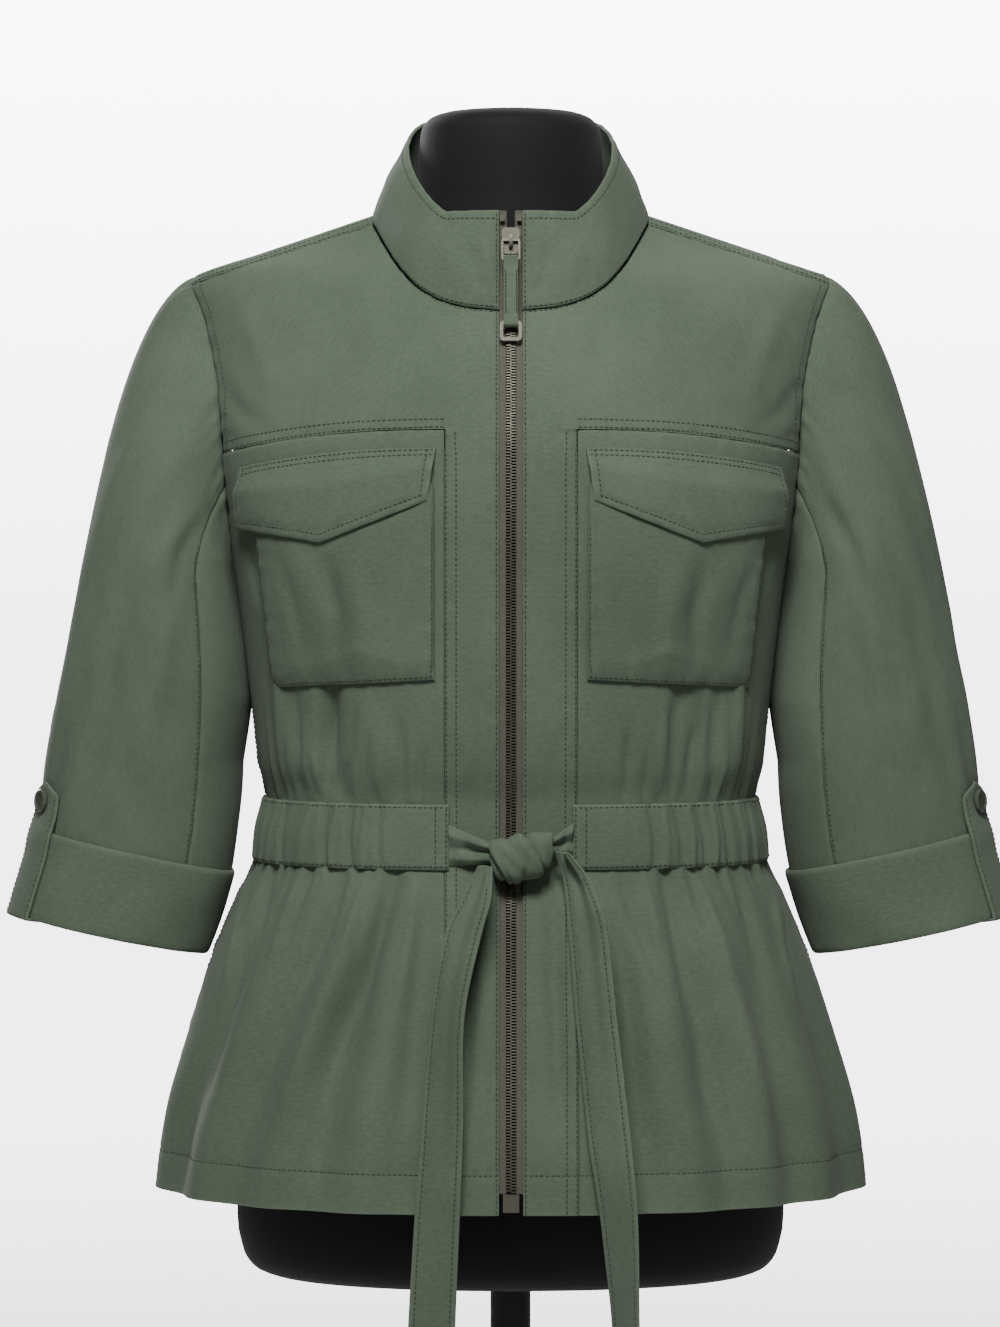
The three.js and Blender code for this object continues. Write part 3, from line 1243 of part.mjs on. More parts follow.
// Dress form: hip to neck in one smooth solid, inside the jacket and clear of it.
const FORM_RINGS = [
  { z: 756, half: 158, front: 97, back: 96, mid: 0, power: 2.2 },
  { z: 760, half: 167, front: 105, back: 104, mid: 0, power: 2.2 },
  { z: 769, half: 173, front: 112, back: 110, mid: 0, power: 2.2 },
  { z: 790, half: 177, front: 117, back: 115, mid: 0, power: 2.2 },
  { z: 830, half: 177, front: 119, back: 117, mid: 0, power: 2.2 },
  { z: 880, half: 172, front: 117, back: 113, mid: 0, power: 2.2 },
  { z: 930, half: 161, front: 110, back: 105, mid: 0, power: 2.2 },
  { z: 980, half: 147, front: 101, back: 96, mid: 0, power: 2.25 },
  { z: 1042, half: 139, front: 96, back: 87, mid: 0, power: 2.3 },
  { z: 1100, half: 147, front: 103, back: 90, mid: 1, power: 2.3 },
  { z: 1170, half: 158, front: 111, back: 94, mid: 2, power: 2.3 },
  { z: 1228, half: 166, front: 116, back: 97, mid: 2, power: 2.3 },
  { z: 1281, half: 173, front: 112, back: 98, mid: 3, power: 2.3 },
  { z: 1317, half: 179, front: 103, back: 98, mid: 4, power: 2.3 },
  { z: 1354, half: 186, front: 88, back: 94, mid: 5, power: 2.2 },
  { z: 1373, half: 190, front: 77, back: 89, mid: 5, power: 2.1 },
  { z: 1390, half: 192, front: 64, back: 84, mid: 5, power: 2 },
  { z: 1401.5, half: 187, front: 54, back: 76, mid: 5, power: 1.85 },
  { z: 1411.5, half: 158.5, front: 43, back: 69, mid: 5, power: 1.65 },
  { z: 1423.5, half: 119.5, front: 32, back: 60, mid: 5, power: 1.55 },
  { z: 1429, half: 98.6, front: 24, back: 50, mid: 5, power: 1.7 },
];
const FORM_SIDES = 22;
const NECK_RINGS = [
  { z: 1392, half: 60, front: 56, back: 60 },
  { z: 1425, half: 66, front: 60, back: 64 },
  { z: 1450, half: 61, front: 58, back: 61 },
  { z: 1480, half: 59, front: 57, back: 59 },
  { z: 1492, half: 57.5, front: 55.5, back: 57.5 },
  { z: 1499, half: 53, front: 51, back: 53 },
  { z: 1503, half: 44, front: 42, back: 44 },
  { z: 1505, half: 30, front: 28, back: 30 },
];
const NECK_MID = 4;

function formRing(ring, mid, power, sides) {
  return Array.from({ length: sides }, (_, j) => {
    const angle = (j / sides) * 2 * Math.PI;
    const across = Math.sin(angle);
    const ahead = Math.cos(angle);
    const depth = ahead > 0 ? -ring.front : ring.back;
    return v3(
      Math.sign(across) * ring.half * Math.abs(across) ** (2 / power),
      mid + depth * Math.abs(ahead) ** (2 / power),
      ring.z,
    );
  });
}
const formTorso = loftSolid(FORM_RINGS.map((ring) =>
  formRing(ring, ring.mid, ring.power, FORM_SIDES)));
const formNeck = loftSolid(NECK_RINGS.map((ring) => formRing(ring, NECK_MID, 2, FORM_SIDES)));
add("form_body", joined(formTorso, formNeck), FORM_CLOTH);

// Pole and base plate
const SOCKET = { radius: 22, high: 40, floor: 15.3, play: 0.3 };
const BASE_PROFILE = [
  [0, 0], [BASE_RADIUS, 0], [BASE_RADIUS, BASE_THICK - 4], [BASE_RADIUS - 4, BASE_THICK],
  [SOCKET.radius + 5, BASE_THICK + 2], [SOCKET.radius, SOCKET.high],
  [POLE_RADIUS + SOCKET.play, SOCKET.high], [POLE_RADIUS + SOCKET.play, SOCKET.floor],
  [0, SOCKET.floor],
];
add("stand_base", turned(BASE_PROFILE, 40).rotateX(Math.PI / 2), BLACK_METAL);
const poleLow = SOCKET.floor + SEAM_GAP;
const poleHigh = FORM_BOTTOM_Z - SEAM_GAP;
const pole = new THREE.CylinderGeometry(POLE_RADIUS, POLE_RADIUS, poleHigh - poleLow, 24)
  .rotateX(Math.PI / 2).translate(0, 0, (poleHigh + poleLow) / 2);
add("stand_pole", plain(pole), BLACK_METAL);

export default jacket;
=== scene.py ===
import json
import math

import bpy
import numpy as np
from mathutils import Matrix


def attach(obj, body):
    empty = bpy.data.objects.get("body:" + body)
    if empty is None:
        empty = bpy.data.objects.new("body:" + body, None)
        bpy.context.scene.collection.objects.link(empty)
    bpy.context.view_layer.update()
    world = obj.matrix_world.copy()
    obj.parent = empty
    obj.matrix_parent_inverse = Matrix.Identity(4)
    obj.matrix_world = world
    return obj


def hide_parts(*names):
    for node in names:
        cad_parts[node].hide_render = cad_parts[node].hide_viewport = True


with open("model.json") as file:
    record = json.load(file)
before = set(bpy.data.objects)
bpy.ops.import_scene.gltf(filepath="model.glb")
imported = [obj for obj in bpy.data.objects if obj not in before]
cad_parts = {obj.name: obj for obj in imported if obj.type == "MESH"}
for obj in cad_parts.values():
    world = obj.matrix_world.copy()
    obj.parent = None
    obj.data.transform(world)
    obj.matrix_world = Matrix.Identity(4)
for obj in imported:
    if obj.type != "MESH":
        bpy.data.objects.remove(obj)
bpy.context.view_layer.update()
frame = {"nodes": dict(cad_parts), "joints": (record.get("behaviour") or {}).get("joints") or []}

# Camera at the height of the jacket's chest, three metres off and almost level.
# A long lens keeps the sleeves and the collar in the proportions of a studio picture.
CAMERA_PLACE, CAMERA_DIP, CAMERA_LENS = (-0.0068, -3.025, 1.230), 1.55, 126.9
camera = bpy.data.objects.new("camera", bpy.data.cameras.new("camera"))
bpy.context.scene.collection.objects.link(camera)
bpy.context.scene.camera = camera
camera.location = CAMERA_PLACE
camera.rotation_euler = (math.radians(90 - CAMERA_DIP), 0, 0)
camera.data.lens = CAMERA_LENS
camera.data.sensor_width = 36

# Studio: a plain pale floor under a soft key above the camera, with a weak fill and a back light.
# The floor glows to the camera alone, a little beside the stand and more with distance, to meet an
# air as pale as itself.
FLOOR_SIZE = 30
FLOOR_GLOW = (("From Min", 0.8), ("From Max", 7), ("To Min", 0.5), ("To Max", 4.6))
AIR_GLOW = (("From Min", 0.14), ("From Max", -0.02), ("To Min", 11.0), ("To Max", 4.9))
AIR_LIGHT = 0.07
floor_mesh = bpy.data.meshes.new("studio_floor")
floor_mesh.from_pydata(
    [(x * FLOOR_SIZE, y * FLOOR_SIZE, 0) for x, y in ((-1, -1), (1, -1), (1, 1), (-1, 1))],
    [], [(0, 1, 2, 3)])
floor = bpy.data.objects.new("studio_floor", floor_mesh)
bpy.context.scene.collection.objects.link(floor)
floor_paint = bpy.data.materials.new("studio_white")
floor_paint.use_nodes = True
floor_shader = floor_paint.node_tree.nodes["Principled BSDF"]
floor_shader.inputs["Base Color"].default_value = (0.80, 0.80, 0.80, 1)
floor_shader.inputs["Roughness"].default_value = 0.9
floor_shader.inputs["Specular IOR Level"].default_value = 0.1
camera_only = floor_paint.node_tree.nodes.new("ShaderNodeLightPath")
floor_place = floor_paint.node_tree.nodes.new("ShaderNodeNewGeometry")
floor_reach = floor_paint.node_tree.nodes.new("ShaderNodeVectorMath")
floor_reach.operation = "LENGTH"
floor_glow = floor_paint.node_tree.nodes.new("ShaderNodeMapRange")
for title, limit in FLOOR_GLOW:
    floor_glow.inputs[title].default_value = limit
floor_glow.interpolation_type = "SMOOTHSTEP"
glow_seen = floor_paint.node_tree.nodes.new("ShaderNodeMath")
glow_seen.operation = "MULTIPLY"
for source, target in (
    (floor_place.outputs["Position"], floor_reach.inputs[0]),
    (floor_reach.outputs["Value"], floor_glow.inputs["Value"]),
    (floor_glow.outputs["Result"], glow_seen.inputs[0]),
    (camera_only.outputs["Is Camera Ray"], glow_seen.inputs[1]),
    (glow_seen.outputs[0], floor_shader.inputs["Emission Strength"]),
):
    floor_paint.node_tree.links.new(source, target)
floor_shader.inputs["Emission Color"].default_value = (1, 1, 1, 1)
floor.data.materials.append(floor_paint)

LIGHTS = [
    # name, place, aim, width, height, watts
    ("key_light", (-0.12, -1.65, 2.9), (0, 0, 1.25), 0.9, 0.7, 82),
    ("fill_light", (2.2, -2.3, 1.9), (0, 0, 1.2), 1.4, 1.6, 5),
    ("back_light", (0.4, 2.0, 3.2), (0, 0, 1.4), 1.6, 1.0, 26),
    ("back_fill", (-1.5, 2.2, 2.2), (0, 0, 1.2), 1.2, 1.2, 62),
]
for name, place, aim, width, height, watts in LIGHTS:
    lamp = bpy.data.lights.new(name, "AREA")
    lamp.shape = "RECTANGLE"
    lamp.size, lamp.size_y = width, height
    lamp.energy = watts
    lamp_object = bpy.data.objects.new(name, lamp)
    lamp_object.location = place
    away = np.subtract(place, aim)
    flat = math.hypot(away[0], away[1])
    lamp_object.rotation_euler = (
        math.atan2(flat, away[2]),
        0,
        math.atan2(away[0], -away[1]),
    )
    bpy.context.scene.collection.objects.link(lamp_object)

world = bpy.data.worlds.new("studio_air")
world.use_nodes = True
air = world.node_tree.nodes["Background"]
air.inputs["Color"].default_value = (0.97, 0.98, 1, 1)
seen = world.node_tree.nodes.new("ShaderNodeLightPath")
air_place = world.node_tree.nodes.new("ShaderNodeNewGeometry")
air_axes = world.node_tree.nodes.new("ShaderNodeSeparateXYZ")
air_rise = world.node_tree.nodes.new("ShaderNodeMapRange")
for title, limit in AIR_GLOW:
    air_rise.inputs[title].default_value = limit
air_strength = world.node_tree.nodes.new("ShaderNodeMapRange")
air_strength.inputs["To Min"].default_value = AIR_LIGHT
for source, target in (
    (air_place.outputs["Position"], air_axes.inputs[0]),
    (air_axes.outputs["Z"], air_rise.inputs["Value"]),
    (air_rise.outputs["Result"], air_strength.inputs["To Max"]),
    (seen.outputs["Is Camera Ray"], air_strength.inputs["Value"]),
    (air_strength.outputs["Result"], air.inputs["Strength"]),
):
    world.node_tree.links.new(source, target)
bpy.context.scene.world = world

# Twill: a node group turns a piece's own UV, in metres, into a diagonal rib height and a mottle.
# The mottle is the slight wear and unevenness of garment-dyed cotton.
TWILL_PITCH = 0.0011


def value_node(tree, kind, operation=None, **inputs):
    node = tree.nodes.new(kind)
    if operation:
        node.operation = operation
    for key, value in inputs.items():
        node.inputs[int(key[1:]) if key[0] == "i" and key[1:].isdigit() else key].default_value = (
            value
        )
    return node


def twill_group():
    """Rib height = triangle wave of (u + 1.6 v) / pitch, and mottle = two noises of position."""
    group = bpy.data.node_groups.new("twill_weave", "ShaderNodeTree")
    for title in ("Rib", "Mottle", "Slub", "Wrinkle"):
        group.interface.new_socket(title, in_out="OUTPUT", socket_type="NodeSocketFloat")
    out = group.nodes.new("NodeGroupOutput")
    uv = group.nodes.new("ShaderNodeUVMap")
    uv.uv_map = "cut"
    split = group.nodes.new("ShaderNodeSeparateXYZ")
    steep = value_node(group, "ShaderNodeMath", "MULTIPLY", i1=1.6)
    total = value_node(group, "ShaderNodeMath", "ADD")
    scaled = value_node(group, "ShaderNodeMath", "DIVIDE", i1=TWILL_PITCH)
    rib = value_node(group, "ShaderNodeMath", "PINGPONG", i1=0.5)
    coords = group.nodes.new("ShaderNodeTexCoord")
    wide = value_node(group, "ShaderNodeTexNoise", Scale=9.0, Detail=5.0, Roughness=0.6)
    slub_map = value_node(group, "ShaderNodeMapping", Scale=(240.0, 560.0, 1.0))
    slub = value_node(group, "ShaderNodeTexNoise", Scale=1.0, Detail=2.0, Roughness=0.5)
    hang = value_node(group, "ShaderNodeMapping", Scale=(26.0, 26.0, 9.0))
    wrinkle = value_node(group, "ShaderNodeTexNoise", Scale=1.0, Detail=3.0, Roughness=0.55)
    link = group.links.new
    link(coords.outputs["Object"], hang.inputs["Vector"])
    link(hang.outputs["Vector"], wrinkle.inputs["Vector"])
    link(wrinkle.outputs["Fac"], out.inputs["Wrinkle"])
    link(uv.outputs["UV"], split.inputs[0])
    link(split.outputs["Y"], steep.inputs[0])
    link(split.outputs["X"], total.inputs[0])
    link(steep.outputs[0], total.inputs[1])
    link(total.outputs[0], scaled.inputs[0])
    link(scaled.outputs[0], rib.inputs[0])
    link(coords.outputs["Object"], wide.inputs["Vector"])
    link(uv.outputs["UV"], slub_map.inputs["Vector"])
    link(slub_map.outputs["Vector"], slub.inputs["Vector"])
    link(rib.outputs[0], out.inputs["Rib"])
    link(wide.outputs["Fac"], out.inputs["Mottle"])
    link(slub.outputs["Fac"], out.inputs["Slub"])
    return group


WEAVE = twill_group()


def cloth_paint(name, low, high, rib_depth=0.00006, roughness=0.88, sheen=0.06):
    """Colour = low to high by mottle, worn seams lighter by the "edge" attribute."""
    paint = bpy.data.materials.new(name)
    paint.use_nodes = True
    tree = paint.node_tree
    shader = tree.nodes["Principled BSDF"]
    shader.inputs["Roughness"].default_value = roughness
    shader.inputs["Sheen Weight"].default_value = sheen
    shader.inputs["Sheen Roughness"].default_value = 0.6
    shader.inputs["Specular IOR Level"].default_value = 0.28
    weave = tree.nodes.new("ShaderNodeGroup")
    weave.node_tree = WEAVE
    mix = tree.nodes.new("ShaderNodeMix")
    mix.data_type = "RGBA"
    mix.inputs["A"].default_value = (*low, 1)
    mix.inputs["B"].default_value = (*high, 1)
    spread = value_node(tree, "ShaderNodeMapRange")
    spread.inputs["From Min"].default_value = 0.3
    spread.inputs["From Max"].default_value = 0.7
    grain = value_node(tree, "ShaderNodeMath", "MULTIPLY_ADD", i1=1.7)
    worn = tree.nodes.new("ShaderNodeAttribute")
    worn.attribute_name = "edge"
    lighter = tree.nodes.new("ShaderNodeMix")
    lighter.data_type = "RGBA"
    lighter.inputs["B"].default_value = tuple(min(1.0, c * 1.35) for c in high) + (1,)
    height = value_node(tree, "ShaderNodeMath", "MULTIPLY_ADD", i1=0.7)
    bump = tree.nodes.new("ShaderNodeBump")
    bump.inputs["Strength"].default_value = 0.7
    bump.inputs["Distance"].default_value = rib_depth
    hung = tree.nodes.new("ShaderNodeBump")
    hung.inputs["Strength"].default_value = 0.5
    hung.inputs["Distance"].default_value = rib_depth * 34
    link = tree.links.new
    link(weave.outputs["Mottle"], spread.inputs["Value"])
    link(weave.outputs["Slub"], grain.inputs[0])
    link(spread.outputs["Result"], grain.inputs[2])
    shifted = value_node(tree, "ShaderNodeMath", "SUBTRACT", i1=0.85)
    link(grain.outputs[0], shifted.inputs[0])
    link(shifted.outputs[0], mix.inputs["Factor"])
    link(mix.outputs["Result"], lighter.inputs["A"])
    link(worn.outputs["Fac"], lighter.inputs["Factor"])
    link(lighter.outputs["Result"], shader.inputs["Base Color"])
    link(weave.outputs["Slub"], height.inputs[0])
    link(weave.outputs["Rib"], height.inputs[2])
    link(weave.outputs["Wrinkle"], hung.inputs["Height"])
    link(hung.outputs["Normal"], bump.inputs["Normal"])
    link(height.outputs[0], bump.inputs["Height"])
    link(bump.outputs["Normal"], shader.inputs["Normal"])
    return paint


TWILL = cloth_paint("olive_twill", (0.066, 0.091, 0.059), (0.091, 0.121, 0.082))
THREAD = cloth_paint("olive_thread", (0.036, 0.050, 0.032), (0.046, 0.062, 0.041), roughness=0.7)
TAPE = cloth_paint("zip_tape_cloth", (0.070, 0.068, 0.052), (0.088, 0.085, 0.066))
FORM_CLOTH = cloth_paint(
    "form_black_jersey", (0.0022, 0.0022, 0.0031), (0.0031, 0.0031, 0.0042), 0.00003, 0.8, 0.05
)


def metal_paint(name, colour, roughness, metallic=1.0, scratch=40.0):
    """Metal whose roughness and colour drift a little with a noise of position."""
    paint = bpy.data.materials.new(name)
    paint.use_nodes = True
    tree = paint.node_tree
    shader = tree.nodes["Principled BSDF"]
    shader.inputs["Metallic"].default_value = metallic
    coords = tree.nodes.new("ShaderNodeTexCoord")
    noise = value_node(tree, "ShaderNodeTexNoise", Scale=scratch, Detail=4.0)
    rough = value_node(tree, "ShaderNodeMapRange")
    rough.inputs["To Min"].default_value = roughness * 0.8
    rough.inputs["To Max"].default_value = roughness * 1.25
    mix = tree.nodes.new("ShaderNodeMix")
    mix.data_type = "RGBA"
    mix.inputs["A"].default_value = (*[c * 0.8 for c in colour], 1)
    mix.inputs["B"].default_value = (*[c * 1.15 for c in colour], 1)
    link = tree.links.new
    link(coords.outputs["Object"], noise.inputs["Vector"])
    link(noise.outputs["Fac"], rough.inputs["Value"])
    link(noise.outputs["Fac"], mix.inputs["Factor"])
    link(rough.outputs["Result"], shader.inputs["Roughness"])
    link(mix.outputs["Result"], shader.inputs["Base Color"])
    return paint


ZIP_METAL = metal_paint("antique_zip_metal", (0.115, 0.11, 0.085), 0.52, 0.6, 300.0)
STAND_METAL = metal_paint("black_stand_metal", (0.012, 0.012, 0.014), 0.4, 0.4)
BUTTON_HORN = metal_paint("olive_button", (0.060, 0.070, 0.050), 0.35, 0.0, 200.0)

# Body of the jacket: level sections of the cloth's outer face, from the hem to the shoulder.
# The columns are z, half width, front and back depth, middle y and superellipse power.
BODY_RINGS = np.array([
    (814, 228, 166, 163, 0, 2.2), (860, 222, 160, 156, 0, 2.2), (910, 209, 151, 146, 0, 2.2),
    (960, 193, 139, 133, 0, 2.2), (1000, 176, 125, 118, 0, 2.2), (1022, 165, 115, 107, 0, 2.25),
    (1042, 162, 112, 102, 0, 2.3), (1063, 158, 111, 99, 0, 2.3), (1085, 163, 115, 102, 0, 2.3),
    (1120, 167, 119, 104, 1, 2.3), (1170, 173, 123, 106, 2, 2.3), (1228, 181, 127, 108, 2, 2.3),
    (1281, 191, 122, 108, 3, 2.3), (1317, 197, 112, 108, 4, 2.3), (1354, 203, 97, 104, 5, 2.2),
    (1373, 207, 86, 99, 5, 2.1), (1390, 211, 72, 93, 5, 2), (1400, 201.9, 62, 88, 5, 1.85),
    (1412, 166, 50, 81, 5, 1.65), (1425, 127.1, 39, 75, 5, 1.55),
    (1437.5, 89.6, 24, 70, 5, 1.9), (1446, 64.2, 14, 68, 5, 2.1),
])

# The cloth's broad folds. turn is 0 at the centre front, 1 and -1 at the sides, 2 at the centre
# back. The columns are turn at high, turn at low, high, peak and low z, width in turns, depth.
FOLDS = np.array([
    (0, 0, 1020, 950, 830, 0.1, -7), (-0.09, -0.1, 1018, 850, 760, 0.06, 4),
    (-0.13, -0.175, 1020, 880, 760, 0.045, -6), (-0.2, -0.26, 1018, 840, 740, 0.06, 7),
    (-0.26, -0.37, 1020, 900, 770, 0.05, -8), (-0.34, -0.47, 1018, 840, 740, 0.06, 6),
    (-0.41, -0.56, 1020, 930, 780, 0.05, -6), (-0.55, -0.67, 1018, 840, 740, 0.07, 6),
    (-0.68, -0.78, 1018, 860, 740, 0.055, -6), (-0.82, -0.88, 1018, 830, 740, 0.06, 4),
    (0.1, 0.11, 1018, 850, 760, 0.055, 4), (0.17, 0.2, 1020, 900, 740, 0.05, -7),
    (0.27, 0.32, 1018, 850, 740, 0.06, 6), (0.36, 0.39, 1020, 900, 740, 0.045, -5),
    (0.45, 0.48, 1018, 850, 740, 0.05, 7), (0.54, 0.56, 1018, 870, 740, 0.045, -6),
    (0.63, 0.65, 1018, 850, 740, 0.055, 6), (0.75, 0.77, 1018, 870, 740, 0.055, -6),
    (0.86, 0.89, 1018, 840, 740, 0.05, 4), (1.16, 1.14, 1018, 860, 740, 0.06, -6),
    (1.3, 1.28, 1018, 850, 740, 0.06, 6), (1.43, 1.41, 1018, 870, 740, 0.055, -7),
    (1.57, 1.56, 1018, 850, 740, 0.06, 6), (1.7, 1.71, 1018, 870, 740, 0.055, -6),
    (1.86, 1.87, 1018, 850, 740, 0.06, 6), (2, 2, 1018, 880, 740, 0.05, -5),
    (-1.14, -1.13, 1018, 860, 740, 0.06, -6), (-1.27, -1.26, 1018, 850, 740, 0.06, 6),
    (-1.4, -1.41, 1018, 870, 740, 0.055, -7), (-1.56, -1.55, 1018, 850, 740, 0.06, 7),
    (-1.71, -1.7, 1018, 870, 740, 0.055, -6), (-1.85, -1.86, 1018, 850, 740, 0.06, 5),
    (-0.47, -0.43, 1225, 1110, 1064, 0.05, -3), (-0.62, -0.58, 1150, 1090, 1064, 0.06, 3),
    (0.5, 0.46, 1200, 1105, 1064, 0.05, -3), (0.66, 0.6, 1150, 1090, 1064, 0.06, 3),
    (1.3, 1.35, 1180, 1100, 1064, 0.06, 3), (1.65, 1.7, 1200, 1100, 1064, 0.06, 3),
    (-1.35, -1.3, 1180, 1100, 1064, 0.06, 3), (-1.7, -1.66, 1200, 1100, 1064, 0.06, 3),
])


def along(at, values, t):
    """Monotone cubic curve through (at, values): Hermite with harmonic mean slopes."""
    at, values = np.asarray(at, float), np.asarray(values, float)
    t = np.clip(np.asarray(t, float), at[0], at[-1])
    slopes = np.diff(values) / np.diff(at)
    before, after = slopes[:-1], slopes[1:]
    product = before * after
    safe = np.where(product > 0, before + after, 1)
    inner = np.where(product > 0, 2 * product / safe, 0)
    tangents = np.concatenate([slopes[:1], inner, slopes[-1:]])
    i = np.clip(np.searchsorted(at, t) - 1, 0, len(at) - 2)
    span = at[i + 1] - at[i]
    u = (t - at[i]) / span
    u2, u3 = u * u, u * u * u
    return (
        (2 * u3 - 3 * u2 + 1) * values[i]
        + (u3 - 2 * u2 + u) * span * tangents[i]
        + (3 * u2 - 2 * u3) * values[i + 1]
        + (u3 - u2) * span * tangents[i + 1]
    )


def ring_at(z):
    return [along(BODY_RINGS[:, 0], BODY_RINGS[:, k], z) for k in range(1, 6)]


def bare_body(turn, z):
    """x = half |sin|^(2/p), y = mid -+ depth |cos|^(2/p), at the angle turn x 90 degrees."""
    half, front, back, mid, power = ring_at(z)
    across, ahead = np.sin(turn * np.pi / 2), np.cos(turn * np.pi / 2)
    depth = np.where(ahead > 0, -front, back)
    return np.stack([
        np.sign(across) * half * np.abs(across) ** (2 / power),
        mid + depth * np.abs(ahead) ** (2 / power),
        z + 0 * turn,
    ], -1)


def unit(v):
    return v / np.maximum(np.linalg.norm(v, axis=-1, keepdims=True), 1e-12)


def body_normal(turn, z):
    across = bare_body(turn + 0.01, z) - bare_body(turn - 0.01, z)
    up = bare_body(turn, z + 0.5) - bare_body(turn, z - 0.5)
    return unit(np.cross(across, up))


def fold_at(turn, z):
    """Sum of depth x smoothstep along the fold x exp(-(distance / width)^2)."""
    total = np.zeros(np.broadcast(turn, z).shape)
    for turn_high, turn_low, high, peak, low, wide, depth in FOLDS:
        fall = (high - z) / (high - low)
        away = np.abs(turn - (turn_high + (turn_low - turn_high) * fall))
        away = np.minimum(away, 4 - away)
        rise = np.where(z > peak, (high - z) / (high - peak), (z - low) / (peak - low))
        rise = np.clip(rise, 0, 1)
        total += depth * rise * rise * (3 - 2 * rise) * np.exp(-((away / wide) ** 2))
    return total


def body_point(turn, z, lift=0.0):
    turn, z = np.broadcast_arrays(np.asarray(turn, float), np.asarray(z, float))
    out = fold_at(turn, z) + lift
    return bare_body(turn, z) + body_normal(turn, z) * np.asarray(out)[..., None]


def turn_of(x, z, on_back=False):
    half, front, back, mid, power = ring_at(z)
    share = np.minimum(1, np.abs(x) / half)
    quarter = np.arcsin(share ** (power / 2)) * 2 / np.pi
    return np.where(x < 0, -1, 1) * (2 - quarter if on_back else quarter)


def on_body(x, z, lift=0.0, on_back=False):
    x, z = np.broadcast_arrays(np.asarray(x, float), np.asarray(z, float))
    return body_point(turn_of(x, z, on_back), z, lift)


# Cloth pieces: each is a grid of points over the solid's outer face, moved by its own creases,
# with a second face behind it and a rounded turned edge all round.
def normals_of(grid, guide, wrap=False):
    """Cross product of the grid's two directions, turned to the guide's side."""
    if wrap:
        ring = np.concatenate([grid[:, -2:-1], grid, grid[:, 1:2]], 1)
        across = (ring[:, 2:] - ring[:, :-2]) / 2
    else:
        across = np.gradient(grid, axis=1)
    down = np.gradient(grid, axis=0)
    normal = unit(np.cross(across, down))
    facing = np.sum(normal * guide, -1, keepdims=True)
    return np.where(facing < 0, -normal, normal)


def lengths(grid, axis):
    """Distance in mm along the grid's lines from its first line."""
    step = np.linalg.norm(np.diff(grid, axis=axis), axis=-1)
    zero = np.zeros_like(np.take(step, [0], axis))
    return np.concatenate([zero, np.cumsum(step, axis)], axis)


def spaced(start, stop, step, edges=(True, True), edge_steps=(0.7, 1.6)):
    """Even places from start to stop, with closer ones beside a turned edge."""
    span = abs(stop - start)
    inner = np.linspace(0, span, max(2, int(round(span / step))) + 1)
    near = [e for e in edge_steps if e < span / 3]
    keep = [v for v in inner if not (edges[0] and 0 < v < 2.4) and not (
        edges[1] and 0 < span - v < 2.4)]
    extra = (near if edges[0] else []) + ([span - e for e in near] if edges[1] else [])
    return start + np.sign(stop - start) * np.array(sorted(set(keep) | set(extra)))


def ripple(s, wave, seed):
    """Uneven wave of about that length: three cosines of unlike lengths and phases."""
    a, b, c = (math.sin(seed * k) * 3 for k in (12.9, 78.2, 37.7))
    return (
        np.cos(2 * np.pi * s / wave + a)
        + 0.6 * np.cos(2 * np.pi * s / (wave * 1.43) + b)
        + 0.5 * np.cos(2 * np.pi * s / (wave * 0.71) + c)
    ) / 1.7


def turned_edge(distance, roll=0.8, reach=2.0):
    return -roll * np.clip(1 - distance / reach, 0, 1) ** 2


def puckers(distance, s, depth, wave, seed, reach=9.0):
    """Sewing draws the cloth into short ripples beside a seam."""
    return depth * ripple(s, wave, seed) * np.exp(-((distance / reach) ** 2))


def creases(points, table):
    """Each crease is a bent line of 3 points: depth x (1 - 0.7 q) exp(-q), q = (d / width)^2,
    fading out towards both ends."""
    total = np.zeros(points.shape[:-1])
    for (a, b, c), wide, depth in table:
        start, along_it = 0.0, np.zeros_like(total)
        nearest = np.full_like(total, 1e9)
        whole = np.linalg.norm(b - a) + np.linalg.norm(c - b)
        for p, q in ((a, b), (b, c)):
            run = q - p
            size = np.linalg.norm(run)
            t = np.clip(((points - p) @ run) / size**2, 0, 1)
            away = np.linalg.norm(points - (p + t[..., None] * run), axis=-1)
            closer = away < nearest
            along_it = np.where(closer, (start + t * size) / whole, along_it)
            nearest = np.minimum(nearest, away)
            start += size
        q = (nearest / wide) ** 2
        fade = np.clip(np.sin(np.pi * np.clip(along_it, 0.02, 0.98)), 0, 1) ** 0.6
        total += depth * (1 - 0.7 * q) * np.exp(-q) * fade
    return total


def grid_faces(rows, columns, offset, flip, keep=None):
    i, j = np.meshgrid(np.arange(rows - 1), np.arange(columns - 1), indexing="ij")
    if keep is not None:
        chosen = keep[i, j]
        i, j = i[chosen], j[chosen]
    a = (i * columns + j).ravel() + offset
    quad = np.stack([a, a + 1, a + columns + 1, a + columns], -1)
    return quad[:, ::-1] if flip else quad


